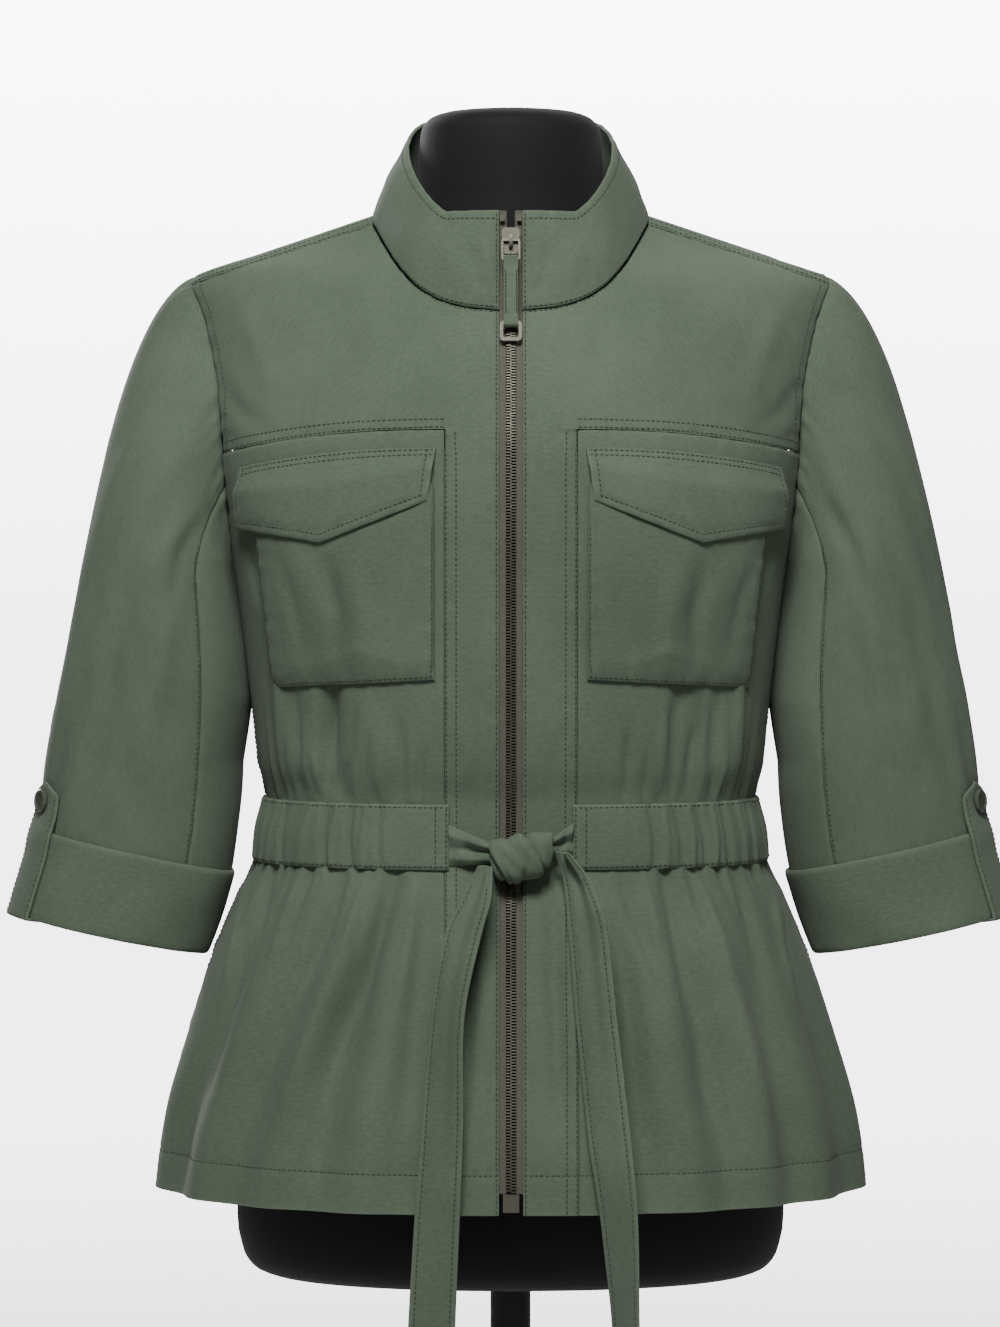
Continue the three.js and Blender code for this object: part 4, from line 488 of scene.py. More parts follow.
def mesh_from(name, points_mm, quads, cut=None, edge=None):
    """A mesh of quads from arrays, in metres, with its UV and its worn-edge value."""
    mesh = bpy.data.meshes.new(name)
    mesh.vertices.add(len(points_mm))
    mesh.vertices.foreach_set("co", (points_mm / 1000).astype(np.float32).ravel())
    mesh.loops.add(len(quads) * 4)
    mesh.loops.foreach_set("vertex_index", quads.astype(np.int32).ravel())
    mesh.polygons.add(len(quads))
    mesh.polygons.foreach_set("loop_start", np.arange(0, len(quads) * 4, 4, dtype=np.int32))
    mesh.update(calc_edges=True)
    mesh.validate()
    mesh.shade_smooth()
    if cut is not None:
        layer = mesh.uv_layers.new(name="cut")
        order = np.zeros(len(mesh.loops), np.int32)
        mesh.loops.foreach_get("vertex_index", order)
        layer.data.foreach_set("uv", (cut[order] / 1000).astype(np.float32).ravel())
    if edge is not None:
        worn = mesh.attributes.new("edge", "FLOAT", "POINT")
        worn.data.foreach_set("value", edge.astype(np.float32).ravel())
    return mesh


PANELS = {}


def cloth(node, grid, guide, thick, paint,
          wrap=False, keep=None, worn=None, body="jacket_and_form"):
    """The piece's two faces, grid and grid - thick x normal, joined by a rounded rim."""
    normal = normals_of(grid, guide, wrap)
    inner = grid - normal * thick
    rows, columns = grid.shape[:2]
    count = rows * columns
    across, down = lengths(grid, 1), lengths(grid, 0)
    cut = np.stack([across, down], -1).reshape(-1, 2)
    edge = np.zeros((rows, columns)) if worn is None else worn
    points = [grid.reshape(-1, 3), inner.reshape(-1, 3)]
    flipped = np.sum(
        np.cross(grid[0, 1] - grid[0, 0], grid[1, 0] - grid[0, 0]) * normal[0, 0]) < 0
    if keep is not None:
        i0, j0 = np.argwhere(keep)[0]
        flipped = np.sum(np.cross(grid[i0, j0 + 1] - grid[i0, j0],
                                  grid[i0 + 1, j0] - grid[i0, j0]) * normal[i0, j0]) < 0
    quads = [
        grid_faces(rows, columns, 0, flipped, keep),
        grid_faces(rows, columns, count, not flipped, keep),
    ]
    cuts, edges = [cut, cut], [edge.ravel(), edge.ravel()]
    total = 2 * count
    for line in border_lines(rows, columns, keep, wrap):
        i, j = line[:, 0], line[:, 1]
        outer_line, inner_line = grid[i, j], inner[i, j]
        run = unit(np.gradient(outer_line, axis=0))
        aside = np.cross(run, normal[i, j])
        inside = grid[np.clip(i + line[:, 2], 0, rows - 1), np.clip(j + line[:, 3], 0, columns - 1)]
        aside = unit(np.where(np.sum(aside * (outer_line - inside), -1, keepdims=True) < 0,
                              -aside, aside))
        middle = (outer_line + inner_line) / 2 + aside * thick * 0.32
        size = len(i)
        points += [outer_line, middle, inner_line]
        cuts += [cut.reshape(rows, columns, 2)[i, j]] * 3
        edges += [np.minimum(1, edge[i, j] + 0.25)] * 3
        strip = grid_faces(3, size, total, False)
        face = np.cross(outer_line[1] - outer_line[0], middle[0] - outer_line[0])
        quads.append(strip if np.dot(face, aside[0] + normal[i, j][0]) > 0 else strip[:, ::-1])
        total += 3 * size
    mesh = mesh_from(node, np.concatenate(points), np.concatenate(quads),
                     np.concatenate(cuts), np.concatenate(edges))
    piece = bpy.data.objects.new(node + "_cloth", mesh)
    bpy.context.scene.collection.objects.link(piece)
    mesh.materials.append(paint)
    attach(piece, body)
    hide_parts(node)
    PANELS[node] = {"grid": grid, "normal": normal}


def border_lines(rows, columns, keep, wrap):
    """Lines of (row, column, and the step towards the inside) along the cloth's free edges."""
    def line(i, j, di, dj):
        i, j = np.broadcast_arrays(i, j)
        return np.stack([i, j, 0 * i + di, 0 * i + dj], -1)
    every_row, every_column = np.arange(rows), np.arange(columns)
    if keep is None:
        lines = [line(0, every_column, 1, 0), line(rows - 1, every_column, -1, 0)]
        if not wrap:
            lines += [line(every_row, 0, 0, 1), line(every_row, columns - 1, 0, -1)]
        return lines
    cells = np.pad(keep[: rows - 1, : columns - 1], 1)
    lines = []
    for i in range(rows):
        for sense, here in ((1, cells[i + 1, 1:-1] & ~cells[i, 1:-1]),
                            (-1, cells[i, 1:-1] & ~cells[i + 1, 1:-1])):
            for first, last in runs(here):
                lines.append(line(i, np.arange(first, last + 2), sense, 0))
    for j in range(columns):
        for sense, here in ((1, cells[1:-1, j + 1] & ~cells[1:-1, j]),
                            (-1, cells[1:-1, j] & ~cells[1:-1, j + 1])):
            for first, last in runs(here):
                lines.append(line(np.arange(first, last + 2), j, 0, sense))
    return lines


def runs(flags):
    found, start = [], None
    for k, flag in enumerate(list(flags) + [False]):
        if flag and start is None:
            start = k
        if not flag and start is not None:
            found.append((start, k - 1))
            start = None
    return found


# Sewing: each seam's thread is a row of short raised stitches laid on the finished cloth.
# The values are millimetres: from stitch to stitch, and a stitch's length and half width.
STITCH_PITCH = 3.3
STITCH_LONG = 2.4
STITCH_WIDE = 0.5
stitch_points, stitch_quads, stitch_count = {}, {}, {}


def stitch_line(path, normal, body="jacket_and_form", pitch=STITCH_PITCH):
    """Spindles of 2 rings of 4 points every pitch along the path."""
    s = np.concatenate([[0], np.cumsum(np.linalg.norm(np.diff(path, axis=0), axis=1))])
    if s[-1] < 2 * pitch:
        return
    starts = np.arange(0.5, s[-1] - STITCH_LONG, pitch)
    def at(values, where):
        return np.stack([np.interp(where, s, values[:, k]) for k in range(3)], -1)
    head, tail = at(path, starts), at(path, starts + STITCH_LONG)
    up = unit(at(normal, starts + STITCH_LONG / 2))
    run = unit(tail - head)
    side = np.cross(run, up)
    rings = []
    for share, grow in ((0.0, 0.25), (0.25, 1.0), (0.75, 1.0), (1.0, 0.25)):
        centre = head + (tail - head) * share + up * (0.12 * grow)
        for across, raise_it in ((1, 0), (0, 1), (-1, 0), (0, -1)):
            rings.append(
                centre + side * (across * STITCH_WIDE * grow)
                + up * (raise_it * STITCH_WIDE * 0.62 * grow)
            )
    points = np.stack(rings, 1).reshape(-1, 3)
    quads = []
    for ring in range(3):
        for k in range(4):
            a, b = ring * 4 + k, ring * 4 + (k + 1) % 4
            quads.append((a, a + 4, b + 4, b))
    quads.append((0, 1, 2, 3))
    quads.append((15, 14, 13, 12))
    base = np.arange(len(starts))[:, None, None] * 16
    offset = stitch_count.get(body, 0)
    stitch_points.setdefault(body, []).append(points)
    stitch_quads.setdefault(body, []).append((base + np.array(quads)).reshape(-1, 4) + offset)
    stitch_count[body] = offset + len(points)


def sample(node, i, j):
    """Point and normal of a finished piece at fractional grid places."""
    panel = PANELS[node]
    grid, normal = panel["grid"], panel["normal"]
    i = np.clip(np.asarray(i, float), 0, grid.shape[0] - 1.001)
    j = np.clip(np.asarray(j, float), 0, grid.shape[1] - 1.001)
    i, j = np.broadcast_arrays(i, j)
    i0, j0 = i.astype(int), j.astype(int)
    u, v = (i - i0)[:, None], (j - j0)[:, None]
    def mix(a):
        return (
            a[i0, j0] * (1 - u) * (1 - v) + a[i0 + 1, j0] * u * (1 - v)
            + a[i0, j0 + 1] * (1 - u) * v + a[i0 + 1, j0 + 1] * u * v
        )
    return mix(grid), mix(normal)


def sew(node, side, inset, first=0.0, last=1.0, base=None, body="jacket_and_form"):
    """Stitches at a distance from one side: low and high are the first and last rows, near and
    far the first and last columns. base is the row or column that the distance starts from."""
    grid = PANELS[node]["grid"]
    rows, columns = grid.shape[:2]
    along_rows = side in ("near", "far")
    distance = lengths(grid, 1 if along_rows else 0)
    count = rows if along_rows else columns
    lines = np.arange(int(round(first * (count - 1))), int(round(last * (count - 1))) + 1)
    found = []
    for k in lines:
        d = distance[k] if along_rows else distance[:, k]
        start = base if base is not None else (0 if side in ("near", "low") else len(d) - 1)
        away = d - d[start] if side in ("near", "low") else d[start] - d
        away = away[start:] if side in ("near", "low") else away[: start + 1][::-1]
        place = np.interp(inset, away, np.arange(len(away)))
        found.append(start + place if side in ("near", "low") else start - place)
    found = np.array(found)
    path, normal = sample(node, lines, found) if along_rows else sample(node, found, lines)
    stitch_line(path, normal, body)


# Side fronts: from the hem to the yoke seam, they carry the pockets and the gathers' fall.
# Their grid follows the hem at the bottom and the curved yoke seam at the top.
HEM, CASING_LOW, CASING_HIGH, PIT = 814.0, 1022.0, 1063.0, 1228.0
YOKE_ARM, YOKE_FRONT, SEAM_ARM = 1283.4, 1297.0, 1393.0
ZIP_EDGE, STRIP_EDGE, CASING_END, GAP = 7.5, 41.5, 38.5, 0.3
NECK_SIDE, TIP_X, QUARTER_POWER, CLOTH = 89.3, 206.0, 2.3, 1.4
ARM_TOP, YOKE_TIP_X, YOKE_BEND, HEM_FOLD = 1398.6, 184.3, 2.3, 24
SEAM_DROP, BACK_NECK_RISE = 6.3, 3.5  # shoulder seam below the ridge, back neck above it
WAIST_TURN = 235  # mm of cloth in one turn, which is a quarter of the way round
ARMHOLE = np.array([
    (1228, 181, 181), (1231.5, 180.4, 180.2), (1242, 180.8, 180.2), (1260, 182.2, 180.8),
    (1283.4, 184.3, 182.4), (1305, 185.4, 183.4), (1330, 188, 185.8), (1354, 192.6, 190.6),
    (1374, 198, 196.5), (1386, 203, 202), (1393, 205.8, 204.8), (1398.6, 206, 206),
])
SIDES = (("left", 1), ("right", -1))


def armhole_x(z, on_back=False):
    return along(ARMHOLE[:, 0], ARMHOLE[:, 2 if on_back else 1], z)


def yoke_z(x):
    out = np.clip((x - STRIP_EDGE) / (YOKE_TIP_X - STRIP_EDGE), 0, 1)
    return YOKE_FRONT - (YOKE_FRONT - YOKE_ARM) * out**YOKE_BEND


def quarter_x(share, inner, outer):
    first = np.arcsin((inner / outer) ** (QUARTER_POWER / 2))
    return outer * np.sin(first + (np.pi / 2 - first) * share) ** (2 / QUARTER_POWER)


def gathers(turn, z):
    """The drawn waist: uneven ripples round the body, strongest at the casing's two seams."""
    above = np.where(z > CASING_HIGH, np.exp(-(z - CASING_HIGH) / 30), 0)
    below = np.where(z < CASING_LOW, np.exp(-(CASING_LOW - z) / 42), 0)
    within = np.where((z >= CASING_LOW) & (z <= CASING_HIGH), 1.0, 0)
    s = turn * WAIST_TURN
    side_share = np.clip((np.abs(turn) - 0.16) / 0.12, 0, 1)
    wave = ripple(s, 21, 3.1) + 0.5 * ripple(s, 9.5, 5.7)
    return side_share * wave * (1.1 * above + 1.5 * below + 0.9 * within)


def under_casing(z, share):
    """Under the casing only this share of a piece's creases is left."""
    return np.where((z > CASING_LOW - 1) & (z < CASING_HIGH + 1), share, 1.0)


def hem_dent(distance):
    """The hem's sewn line, pressed into the cloth."""
    return -0.45 * np.exp(-(((distance - HEM_FOLD) / 1.8) ** 2))


def drape(turn, z, seed=1.0):
    """Slow unevenness of hanging cloth, under a millimetre."""
    s = turn * 260
    return 0.45 * ripple(s + 0.35 * z, 95, seed) * ripple(z - 0.2 * s, 120, seed + 2)


def seam_side_rows(sign, shares, low_z, arm_z):
    inner = STRIP_EDGE + GAP / 2
    low = low_z[:, None] + 0 * shares
    front = ring_at(low)[1]
    first = turn_of(inner, low)
    turn_low = first + (1 - GAP / 2 / (front * 1.5) - first) * shares
    climb = (arm_z[:, None] - PIT) / (YOKE_ARM - PIT)
    x = quarter_x(shares, inner, armhole_x(arm_z)[:, None])
    z_high = PIT + climb * (yoke_z(x) - GAP / 2 - PIT)
    turn = np.concatenate([turn_low, turn_of(x, z_high)])
    return sign * turn, np.concatenate([low, z_high])


def to_lines(table, back=False):
    """Crease ends given as (x, z) pairs on the body become points in space."""
    made = []
    for x0, z0, x1, z1, x2, z2, wide, depth in table:
        ends = [on_body(x, z, 0, back) for x, z in ((x0, z0), (x1, z1), (x2, z2))]
        made.append((ends, wide, depth))
    return made


FRONT_CREASES = [
    # three places x, z down the crease, width and depth
    (-112, 1140, -116, 1105, -118, 1068, 7, -1.6), (-92, 1128, -95, 1098, -97, 1066, 5, 1.3),
    (-136, 1135, -134, 1100, -131, 1066, 6, -1.5), (-70, 1118, -68, 1092, -68, 1066, 5, -1.2),
    (-150, 1180, -147, 1130, -142, 1072, 7, 1.4), (-55, 1100, -57, 1082, -58, 1066, 4, -1.0),
    (-114, 1137, -116, 1104, -112, 1066, 9, -2.6), (-88, 1128, -84, 1100, -82, 1066, 9, 1.5),
    (112, 1160, 104, 1115, 103, 1066, 10, -1.9), (-124, 1096, -122, 1080, -121, 1066, 4, 1.2),
    (-104, 1090, -106, 1078, -107, 1066, 3.5, -1.1),
    (74, 1112, 73, 1088, 72, 1066, 4.5, -1.3), (98, 1130, 96, 1098, 94, 1066, 5, 1.3),
    (116, 1108, 114, 1086, 112, 1066, 4.5, -1.5), (131, 1138, 128, 1100, 126, 1066, 6, -1.4),
    (147, 1170, 143, 1120, 139, 1072, 6.5, 1.5), (84, 1092, 84, 1078, 84, 1066, 3.5, -1.0),
    (-166, 1222, -158, 1196, -150, 1176, 8, -1.6), (166, 1224, 158, 1198, 149, 1180, 8, -1.5),
    (-71, 1020, -99, 945, -126, 873, 12, -3.4), (-48, 1009, -60, 937, -68, 862, 11, -2.8),
    (58, 1002, 74, 937, 79, 851, 12, -3.1), (126, 992, 142, 930, 160, 862, 13, 2.4),
    (-88, 1004, -120, 930, -142, 868, 12, 2.2), (-150, 1012, -178, 940, -192, 870, 13, -2.6),
    (100, 1012, 118, 940, 122, 862, 12, -2.6), (-104, 1018, -116, 985, -130, 950, 7, -2.2),
    (-73, 1018, -86, 975, -96, 930, 6, -2.0),
    (-132, 1018, -140, 992, -150, 966, 6, 1.8), (-58, 1018, -62, 985, -70, 935, 5, 1.6),
    (-152, 1018, -162, 980, -172, 930, 7, -1.8), (-90, 1016, -97, 996, -104, 972, 4, 1.4),
    (70, 1018, 78, 990, 90, 962, 6, -2.1), (94, 1018, 104, 975, 112, 925, 6, -1.8),
    (118, 1018, 126, 992, 136, 962, 5, 1.7), (58, 1014, 64, 970, 70, 915, 5, 1.4),
    (142, 1018, 150, 985, 162, 940, 7, -2.0), (84, 1016, 88, 1000, 92, 980, 3.5, 1.3),
    (-120, 900, -128, 862, -134, 822, 9, 1.2), (128, 905, 140, 860, 150, 822, 9, 1.2),
    (-168, 1010, -176, 970, -186, 925, 6, 1.6), (165, 1012, 172, 972, 180, 930, 6, 1.5),
]

for side, sign in SIDES:
    shares = spaced(0, 1, 0.0105, (False, False))
    shares = np.sort(np.concatenate([shares, [0.004, 0.008, 0.992, 0.996]]))
    low_z = spaced(HEM, PIT, 3.0, (True, False))
    arm_z = spaced(PIT, YOKE_ARM, 3.0, (False, True))[1:]
    turn, z = seam_side_rows(sign, shares, low_z, arm_z)
    base = body_point(turn, z)
    inner_d = lengths(base, 1)
    outer_d = inner_d[:, -1:] - inner_d
    low_d = lengths(base, 0)
    top_d = low_d[-1:] - low_d
    seed = 2.0 + sign
    out = (
        2.0 * creases(base, to_lines([c for c in FRONT_CREASES if c[0] * sign > 0]))
        + gathers(turn, z) + drape(turn, z, seed)
        + turned_edge(inner_d, 0.9) + turned_edge(outer_d, 0.4) + turned_edge(top_d, 0.9)
        + puckers(outer_d, z, 0.35, 17, seed) + puckers(top_d, inner_d, 0.25, 15, seed + 1)
        + puckers(np.abs(low_d - HEM_FOLD), inner_d, 0.3, 16, seed + 2, 12)
        + hem_dent(low_d)
    )
    normal = body_normal(turn, z)
    held = out * under_casing(z, 0.0)
    grid = base + normal * held[..., None]
    cloth(f"front_side_{side}", grid, normal, CLOTH, TWILL,
          worn=0.25 * np.exp(-low_d / 1.5))
    sew(f"front_side_{side}", "low", HEM_FOLD)
    sew(f"front_side_{side}", "far", 3, 0.30, 0.96)

# Centre fronts: one L-shaped piece each, a strip beside the zip and a yoke over the chest.
# One grid covers both arms of the L, and the cells between them are left out.
NECK_FRONT = np.array([
    (7.5, 1372.5), (25, 1374), (41.5, 1378), (58, 1387), (72, 1402), (82, 1418), (89.3, 1431.6),
])


def ridge_z(x):
    return 1431.7 - 0.334 * (x - 107)


def neck_z(x):
    return along(NECK_FRONT[:, 0], NECK_FRONT[:, 1], x)


YOKE_CREASES = [
    (-176, 1385, -160, 1350, -150, 1318, 10, 1.1), (176, 1383, 160, 1348, 150, 1316, 10, 1.1),
    (-186, 1330, -170, 1308, -150, 1296, 8, -1.1), (186, 1332, 171, 1309, 152, 1297, 8, -1.0),
    (-95, 1400, -90, 1370, -80, 1340, 12, 0.9), (95, 1398, 92, 1368, 84, 1338, 12, 0.9),
    (-60, 1372, -52, 1350, -40, 1330, 9, -0.8), (62, 1370, 54, 1346, 44, 1322, 9, -0.8),
    (-30, 1240, -24, 1200, -28, 1150, 7, 0.8), (28, 1250, 24, 1205, 28, 1160, 7, 0.8),
    (-33, 1120, -26, 1095, -30, 1070, 6, 0.9), (32, 1110, 27, 1090, 31, 1068, 6, -0.9),
    (-25, 1016, -27, 950, -29, 862, 8, -3.6), (26, 1016, 28, 945, 31, 858, 8, -3.6),
]

for side, sign in SIDES:
    edge = STRIP_EDGE - GAP / 2
    tip = armhole_x(SEAM_ARM)
    strip = spaced(ZIP_EDGE, edge, 2.2)
    necks = spaced(edge, NECK_SIDE, 2.6, (False, False))[1:]
    shoulder = NECK_SIDE + (tip - NECK_SIDE) * spaced(0, 1, 0.0215, (False, False))[1:]
    tops = np.concatenate([necks, shoulder])
    tops = np.sort(np.concatenate([tops, [tip - 0.8, tip - 1.7]]))
    shares = (tops - edge) / (tip - edge)
    low_z = spaced(HEM, YOKE_FRONT - GAP / 2, 3.0, (True, False))
    climbs = spaced(0, 1, 0.026, (False, False))
    climbs = np.sort(np.concatenate([climbs, [0.006, 0.016, 0.984, 0.994]]))
    yoke_arm_z = YOKE_ARM + (SEAM_ARM - YOKE_ARM) * climbs
    strip_x = np.broadcast_to(strip, (len(climbs), len(strip)))
    share_x = edge + (armhole_x(yoke_arm_z)[:, None] - edge) * shares
    x = np.concatenate([strip_x, share_x], 1)
    top = np.concatenate([
        neck_z(strip), np.where(tops <= NECK_SIDE + 1e-6, neck_z(tops), ridge_z(tops) - SEAM_DROP)])
    low = yoke_z(x) + GAP / 2
    z_yoke = low + (top - low) * climbs[:, None]
    x_low = np.broadcast_to(np.concatenate([strip, edge + 0 * tops]), (len(low_z), x.shape[1]))
    x_all = np.concatenate([x_low, x])
    z = np.concatenate([low_z[:, None] + 0 * x_low, z_yoke])
    turn = sign * turn_of(x_all, z)
    base = body_point(turn, z)
    keep = np.ones(z.shape, bool)
    keep[: len(low_z), len(strip) - 1 :] = False
    zip_d = np.abs(x_all) - ZIP_EDGE
    strip_d = np.where(z < YOKE_FRONT, edge - x_all, 99)
    yoke_d = np.where(x_all > edge - 0.01, z - yoke_z(x_all), 99)
    far_d = lengths(base, 1)
    arm_d = np.where(z > YOKE_ARM, far_d[:, -1:] - far_d, 99)
    up_d = lengths(base, 0)
    top_d = up_d[-1:] - up_d
    seed = 5.0 + sign
    out = (
        1.5 * creases(base, to_lines([c for c in YOKE_CREASES if c[0] * sign > 0]))
        + gathers(turn, z) + drape(turn, z, seed)
        + turned_edge(zip_d, 0.5) + turned_edge(strip_d, 0.5) + turned_edge(yoke_d, 0.2)
        + turned_edge(arm_d, 0.9) + turned_edge(top_d, 0.9)
        + puckers(zip_d, z, 0.3, 14, seed, 7) + puckers(strip_d, z, 0.28, 17, seed + 1, 8)
        + puckers(arm_d, z, 0.4, 15, seed + 2, 11) + puckers(top_d, far_d, 0.3, 13, seed + 3, 10)
        + puckers(yoke_d, far_d, 0.25, 15, seed + 4, 8)
        + hem_dent(up_d)
    )
    normal = body_normal(turn, z)
    held = out * under_casing(z, 0.35)
    grid = base + normal * held[..., None]
    cloth(f"front_centre_{side}", grid, normal, CLOTH, TWILL,
          keep=keep, worn=0.2 * np.exp(-up_d / 1.5))
    node = f"front_centre_{side}"
    columns = grid.shape[1] - 1
    split = (len(strip) - 1) / columns
    yoke_row = len(low_z)
    sew(node, "low", HEM_FOLD, 0, split)
    sew(node, "near", 1.6)
    strip_last = yoke_row / (grid.shape[0] - 1)
    sew(node, "far", 1.2, 0, strip_last, base=len(strip) - 1)
    sew(node, "far", 7.5, 0, strip_last, base=len(strip) - 1)
    for inset in (1.4, 6.6):
        sew(node, "low", inset, split, 1, base=yoke_row)
    sew(node, "far", 8.5, strip_last, 1)
    neck_share = (len(strip) + len(necks) - 1) / columns
    sew(node, "high", 1.6, 0, neck_share)
    sew(node, "high", 1.6, neck_share, 1)

# Back: from the hem up and over the shoulders, to the seam that lies in front of them.
# It is one plain piece, guessed, because the photograph shows only the front.
BACK_CREASES = [
    (-60, 1128, -64, 1098, -66, 1066, 6, -1.4), (-20, 1120, -17, 1094, -16, 1066, 5, 1.3),
    (14, 1135, 18, 1100, 20, 1066, 6, -1.3), (58, 1112, 60, 1090, 62, 1066, 5, 1.3),
    (96, 1140, 100, 1104, 103, 1068, 7, -1.6), (-100, 1118, -98, 1092, -97, 1066, 5, 1.2),
    (-138, 1165, -134, 1120, -130, 1070, 7, -1.5), (132, 1172, 129, 1124, 126, 1072, 7, 1.4),
    (38, 1100, 40, 1082, 41, 1066, 4, -1.2), (-40, 1104, -41, 1084, -42, 1066, 4, 1.1),
    (-150, 1330, -120, 1300, -84, 1284, 13, 1.2), (148, 1322, 118, 1296, 80, 1282, 13, 1.1),
    (-168, 1262, -140, 1240, -108, 1226, 9, -1.4), (168, 1266, 142, 1238, 112, 1222, 9, -1.3),
    (-40, 1395, -20, 1386, 2, 1384, 8, 0.9), (46, 1392, 30, 1382, 12, 1379, 8, -0.8),
    (-80, 1018, -86, 980, -92, 930, 6, -1.9), (-52, 1018, -55, 985, -60, 945, 5, 1.6),
    (-24, 1018, -26, 978, -28, 925, 6, -1.8), (8, 1018, 8, 990, 10, 955, 5, 1.5),
    (30, 1018, 33, 975, 37, 920, 6, -2.0), (64, 1018, 68, 985, 74, 940, 5, 1.6),
    (92, 1018, 99, 978, 108, 930, 6, -1.9), (124, 1018, 130, 985, 140, 940, 6, 1.7),
    (-118, 1018, -124, 982, -134, 936, 6, 1.7), (-146, 1018, -155, 978, -165, 925, 7, -1.8),
    (150, 1016, 158, 976, 168, 922, 7, -1.7),
]


def back_top(u):
    x = top_x(np.abs(u))
    to_neck = BACK_NECK_RISE * (1 - (x / NECK_SIDE) ** 2)
    return np.where(np.abs(u) < 0.25 - 1e-9, ridge_z(NECK_SIDE) + to_neck, ridge_z(x))


def top_x(share):
    return TIP_X * np.sin(share * np.pi / 2) ** (2 / QUARTER_POWER)


half_u = np.concatenate([
    spaced(0, 0.25, 0.0125, (False, False)), spaced(0.25, 1, 0.0115, (False, False))[1:],
    [0.9935, 0.997],
])
half_u = np.sort(half_u)
u = np.concatenate([-half_u[:0:-1], half_u])
u_sign = np.where(u < 0, -1, 1)
low_z = spaced(HEM, PIT, 3.1, (True, False))
arm_z = spaced(PIT, ARM_TOP, 3.3, (False, False))[1:]
drops = np.array([0.8, 1.6, 2.4, 3.3, 4.4, 5.3, 6.0])
low = low_z[:, None] + 0 * u
last = 1 - GAP / 2 / (ring_at(low)[2] * 1.5)
turn_low = u_sign * (2 - np.abs(u) * last)
x = quarter_x(np.abs(u), 0, armhole_x(arm_z, True)[:, None])
z_arm = PIT + (arm_z[:, None] - PIT) / (ARM_TOP - PIT) * (back_top(u) - PIT)
turn_arm = u_sign * np.abs(turn_of(x, z_arm, True))
z_over = back_top(u) - drops[:, None]
turn_over = u_sign * turn_of(top_x(np.abs(u)) + 0 * z_over, z_over)
turn = np.concatenate([turn_low, turn_arm, turn_over])
z = np.concatenate([low, z_arm, z_over])
base = body_point(turn, z)
over_row = len(low_z) + len(arm_z) - 1
keep = np.ones(z.shape, bool)
middle = (np.abs(u[:-1] + u[1:]) / 2) < 0.25
keep[over_row:, :-1] = ~middle
s_along = lengths(base, 1)
side_d = np.minimum(s_along, s_along[:, -1:] - s_along)
low_d = lengths(base, 0)
neck_d = np.where(np.abs(u) < 0.25, low_d[over_row : over_row + 1] - low_d, 99)
over_d = np.where(np.abs(u) >= 0.25, low_d[-1:] - low_d, 99)
out = (
    2.0 * creases(base, to_lines(BACK_CREASES, True)) + gathers(turn, z) + drape(turn, z, 9)
    + turned_edge(side_d, 0.9) + turned_edge(np.abs(neck_d), 0.8) + turned_edge(over_d, 0.6)
    + puckers(side_d, z, 0.35, 16, 4, 10) + puckers(np.abs(neck_d), s_along, 0.3, 14, 6, 10)
    + puckers(over_d, s_along, 0.3, 13, 8, 9)
    + hem_dent(low_d)
)
normal = body_normal(turn, z)
held = out * under_casing(z, 0.0)
cloth("back", base + normal * held[..., None], normal, CLOTH, TWILL,
      keep=keep, worn=0.2 * np.exp(-low_d / 1.5))
sew("back", "low", HEM_FOLD)
sew("back", "near", 8.5, len(low_z) / len(z), over_row / len(z))
sew("back", "far", 8.5, len(low_z) / len(z), over_row / len(z))
neck_first = int(np.argmax(u >= -0.25 - 1e-9)) / (len(u) - 1)
sew("back", "high", 1.6, neck_first, 1 - neck_first, base=over_row)
for inset in (1.5, 6.5):
    sew("back", "high", inset, 0, neck_first)
    sew("back", "high", inset, 1 - neck_first, 1)

# Collar: a stand of doubled twill from the neck seam to its top edge, open at the zip.
# Half of it is worked out from the zip round to the centre back, then mirrored.
COLLAR_CREASES = [
    # places as (share round from the zip, height share), width and depth
    (-0.115, 0.62, -0.10, 0.45, -0.085, 0.34, 6, -1.5),
    (-0.10, 0.35, -0.078, 0.26, -0.05, 0.24, 5, -1.2),
    (0.12, 0.64, 0.10, 0.46, 0.085, 0.33, 6, -1.4), (0.095, 0.34, 0.075, 0.25, 0.05, 0.22, 5, -1.2),
    (-0.24, 0.7, -0.2, 0.45, -0.17, 0.25, 8, 1.0), (0.25, 0.7, 0.21, 0.42, 0.18, 0.22, 8, 1.0),
    (-0.45, 0.2, -0.52, 0.45, -0.6, 0.6, 8, -0.9), (0.5, 0.22, 0.57, 0.45, 0.66, 0.55, 8, -0.9),
    (-0.85, 0.2, -0.88, 0.5, -0.92, 0.72, 8, 0.8), (0.8, 0.2, 0.84, 0.5, 0.86, 0.7, 7, -0.8),
]


def collar_top(angle):
    """Ellipse of half width 67 and depth 74 whose height climbs from 1436 to 1506 behind."""
    a = np.radians(angle)
    y = 2 - 74 * np.cos(a)
    climb = np.clip((y + 60) / (76 + 60), 0, None)
    return np.stack([
        67 * np.abs(np.sin(a)) ** 0.8, y, 1436 + 70 * (1 - (1 - climb) ** 1.8)], -1)


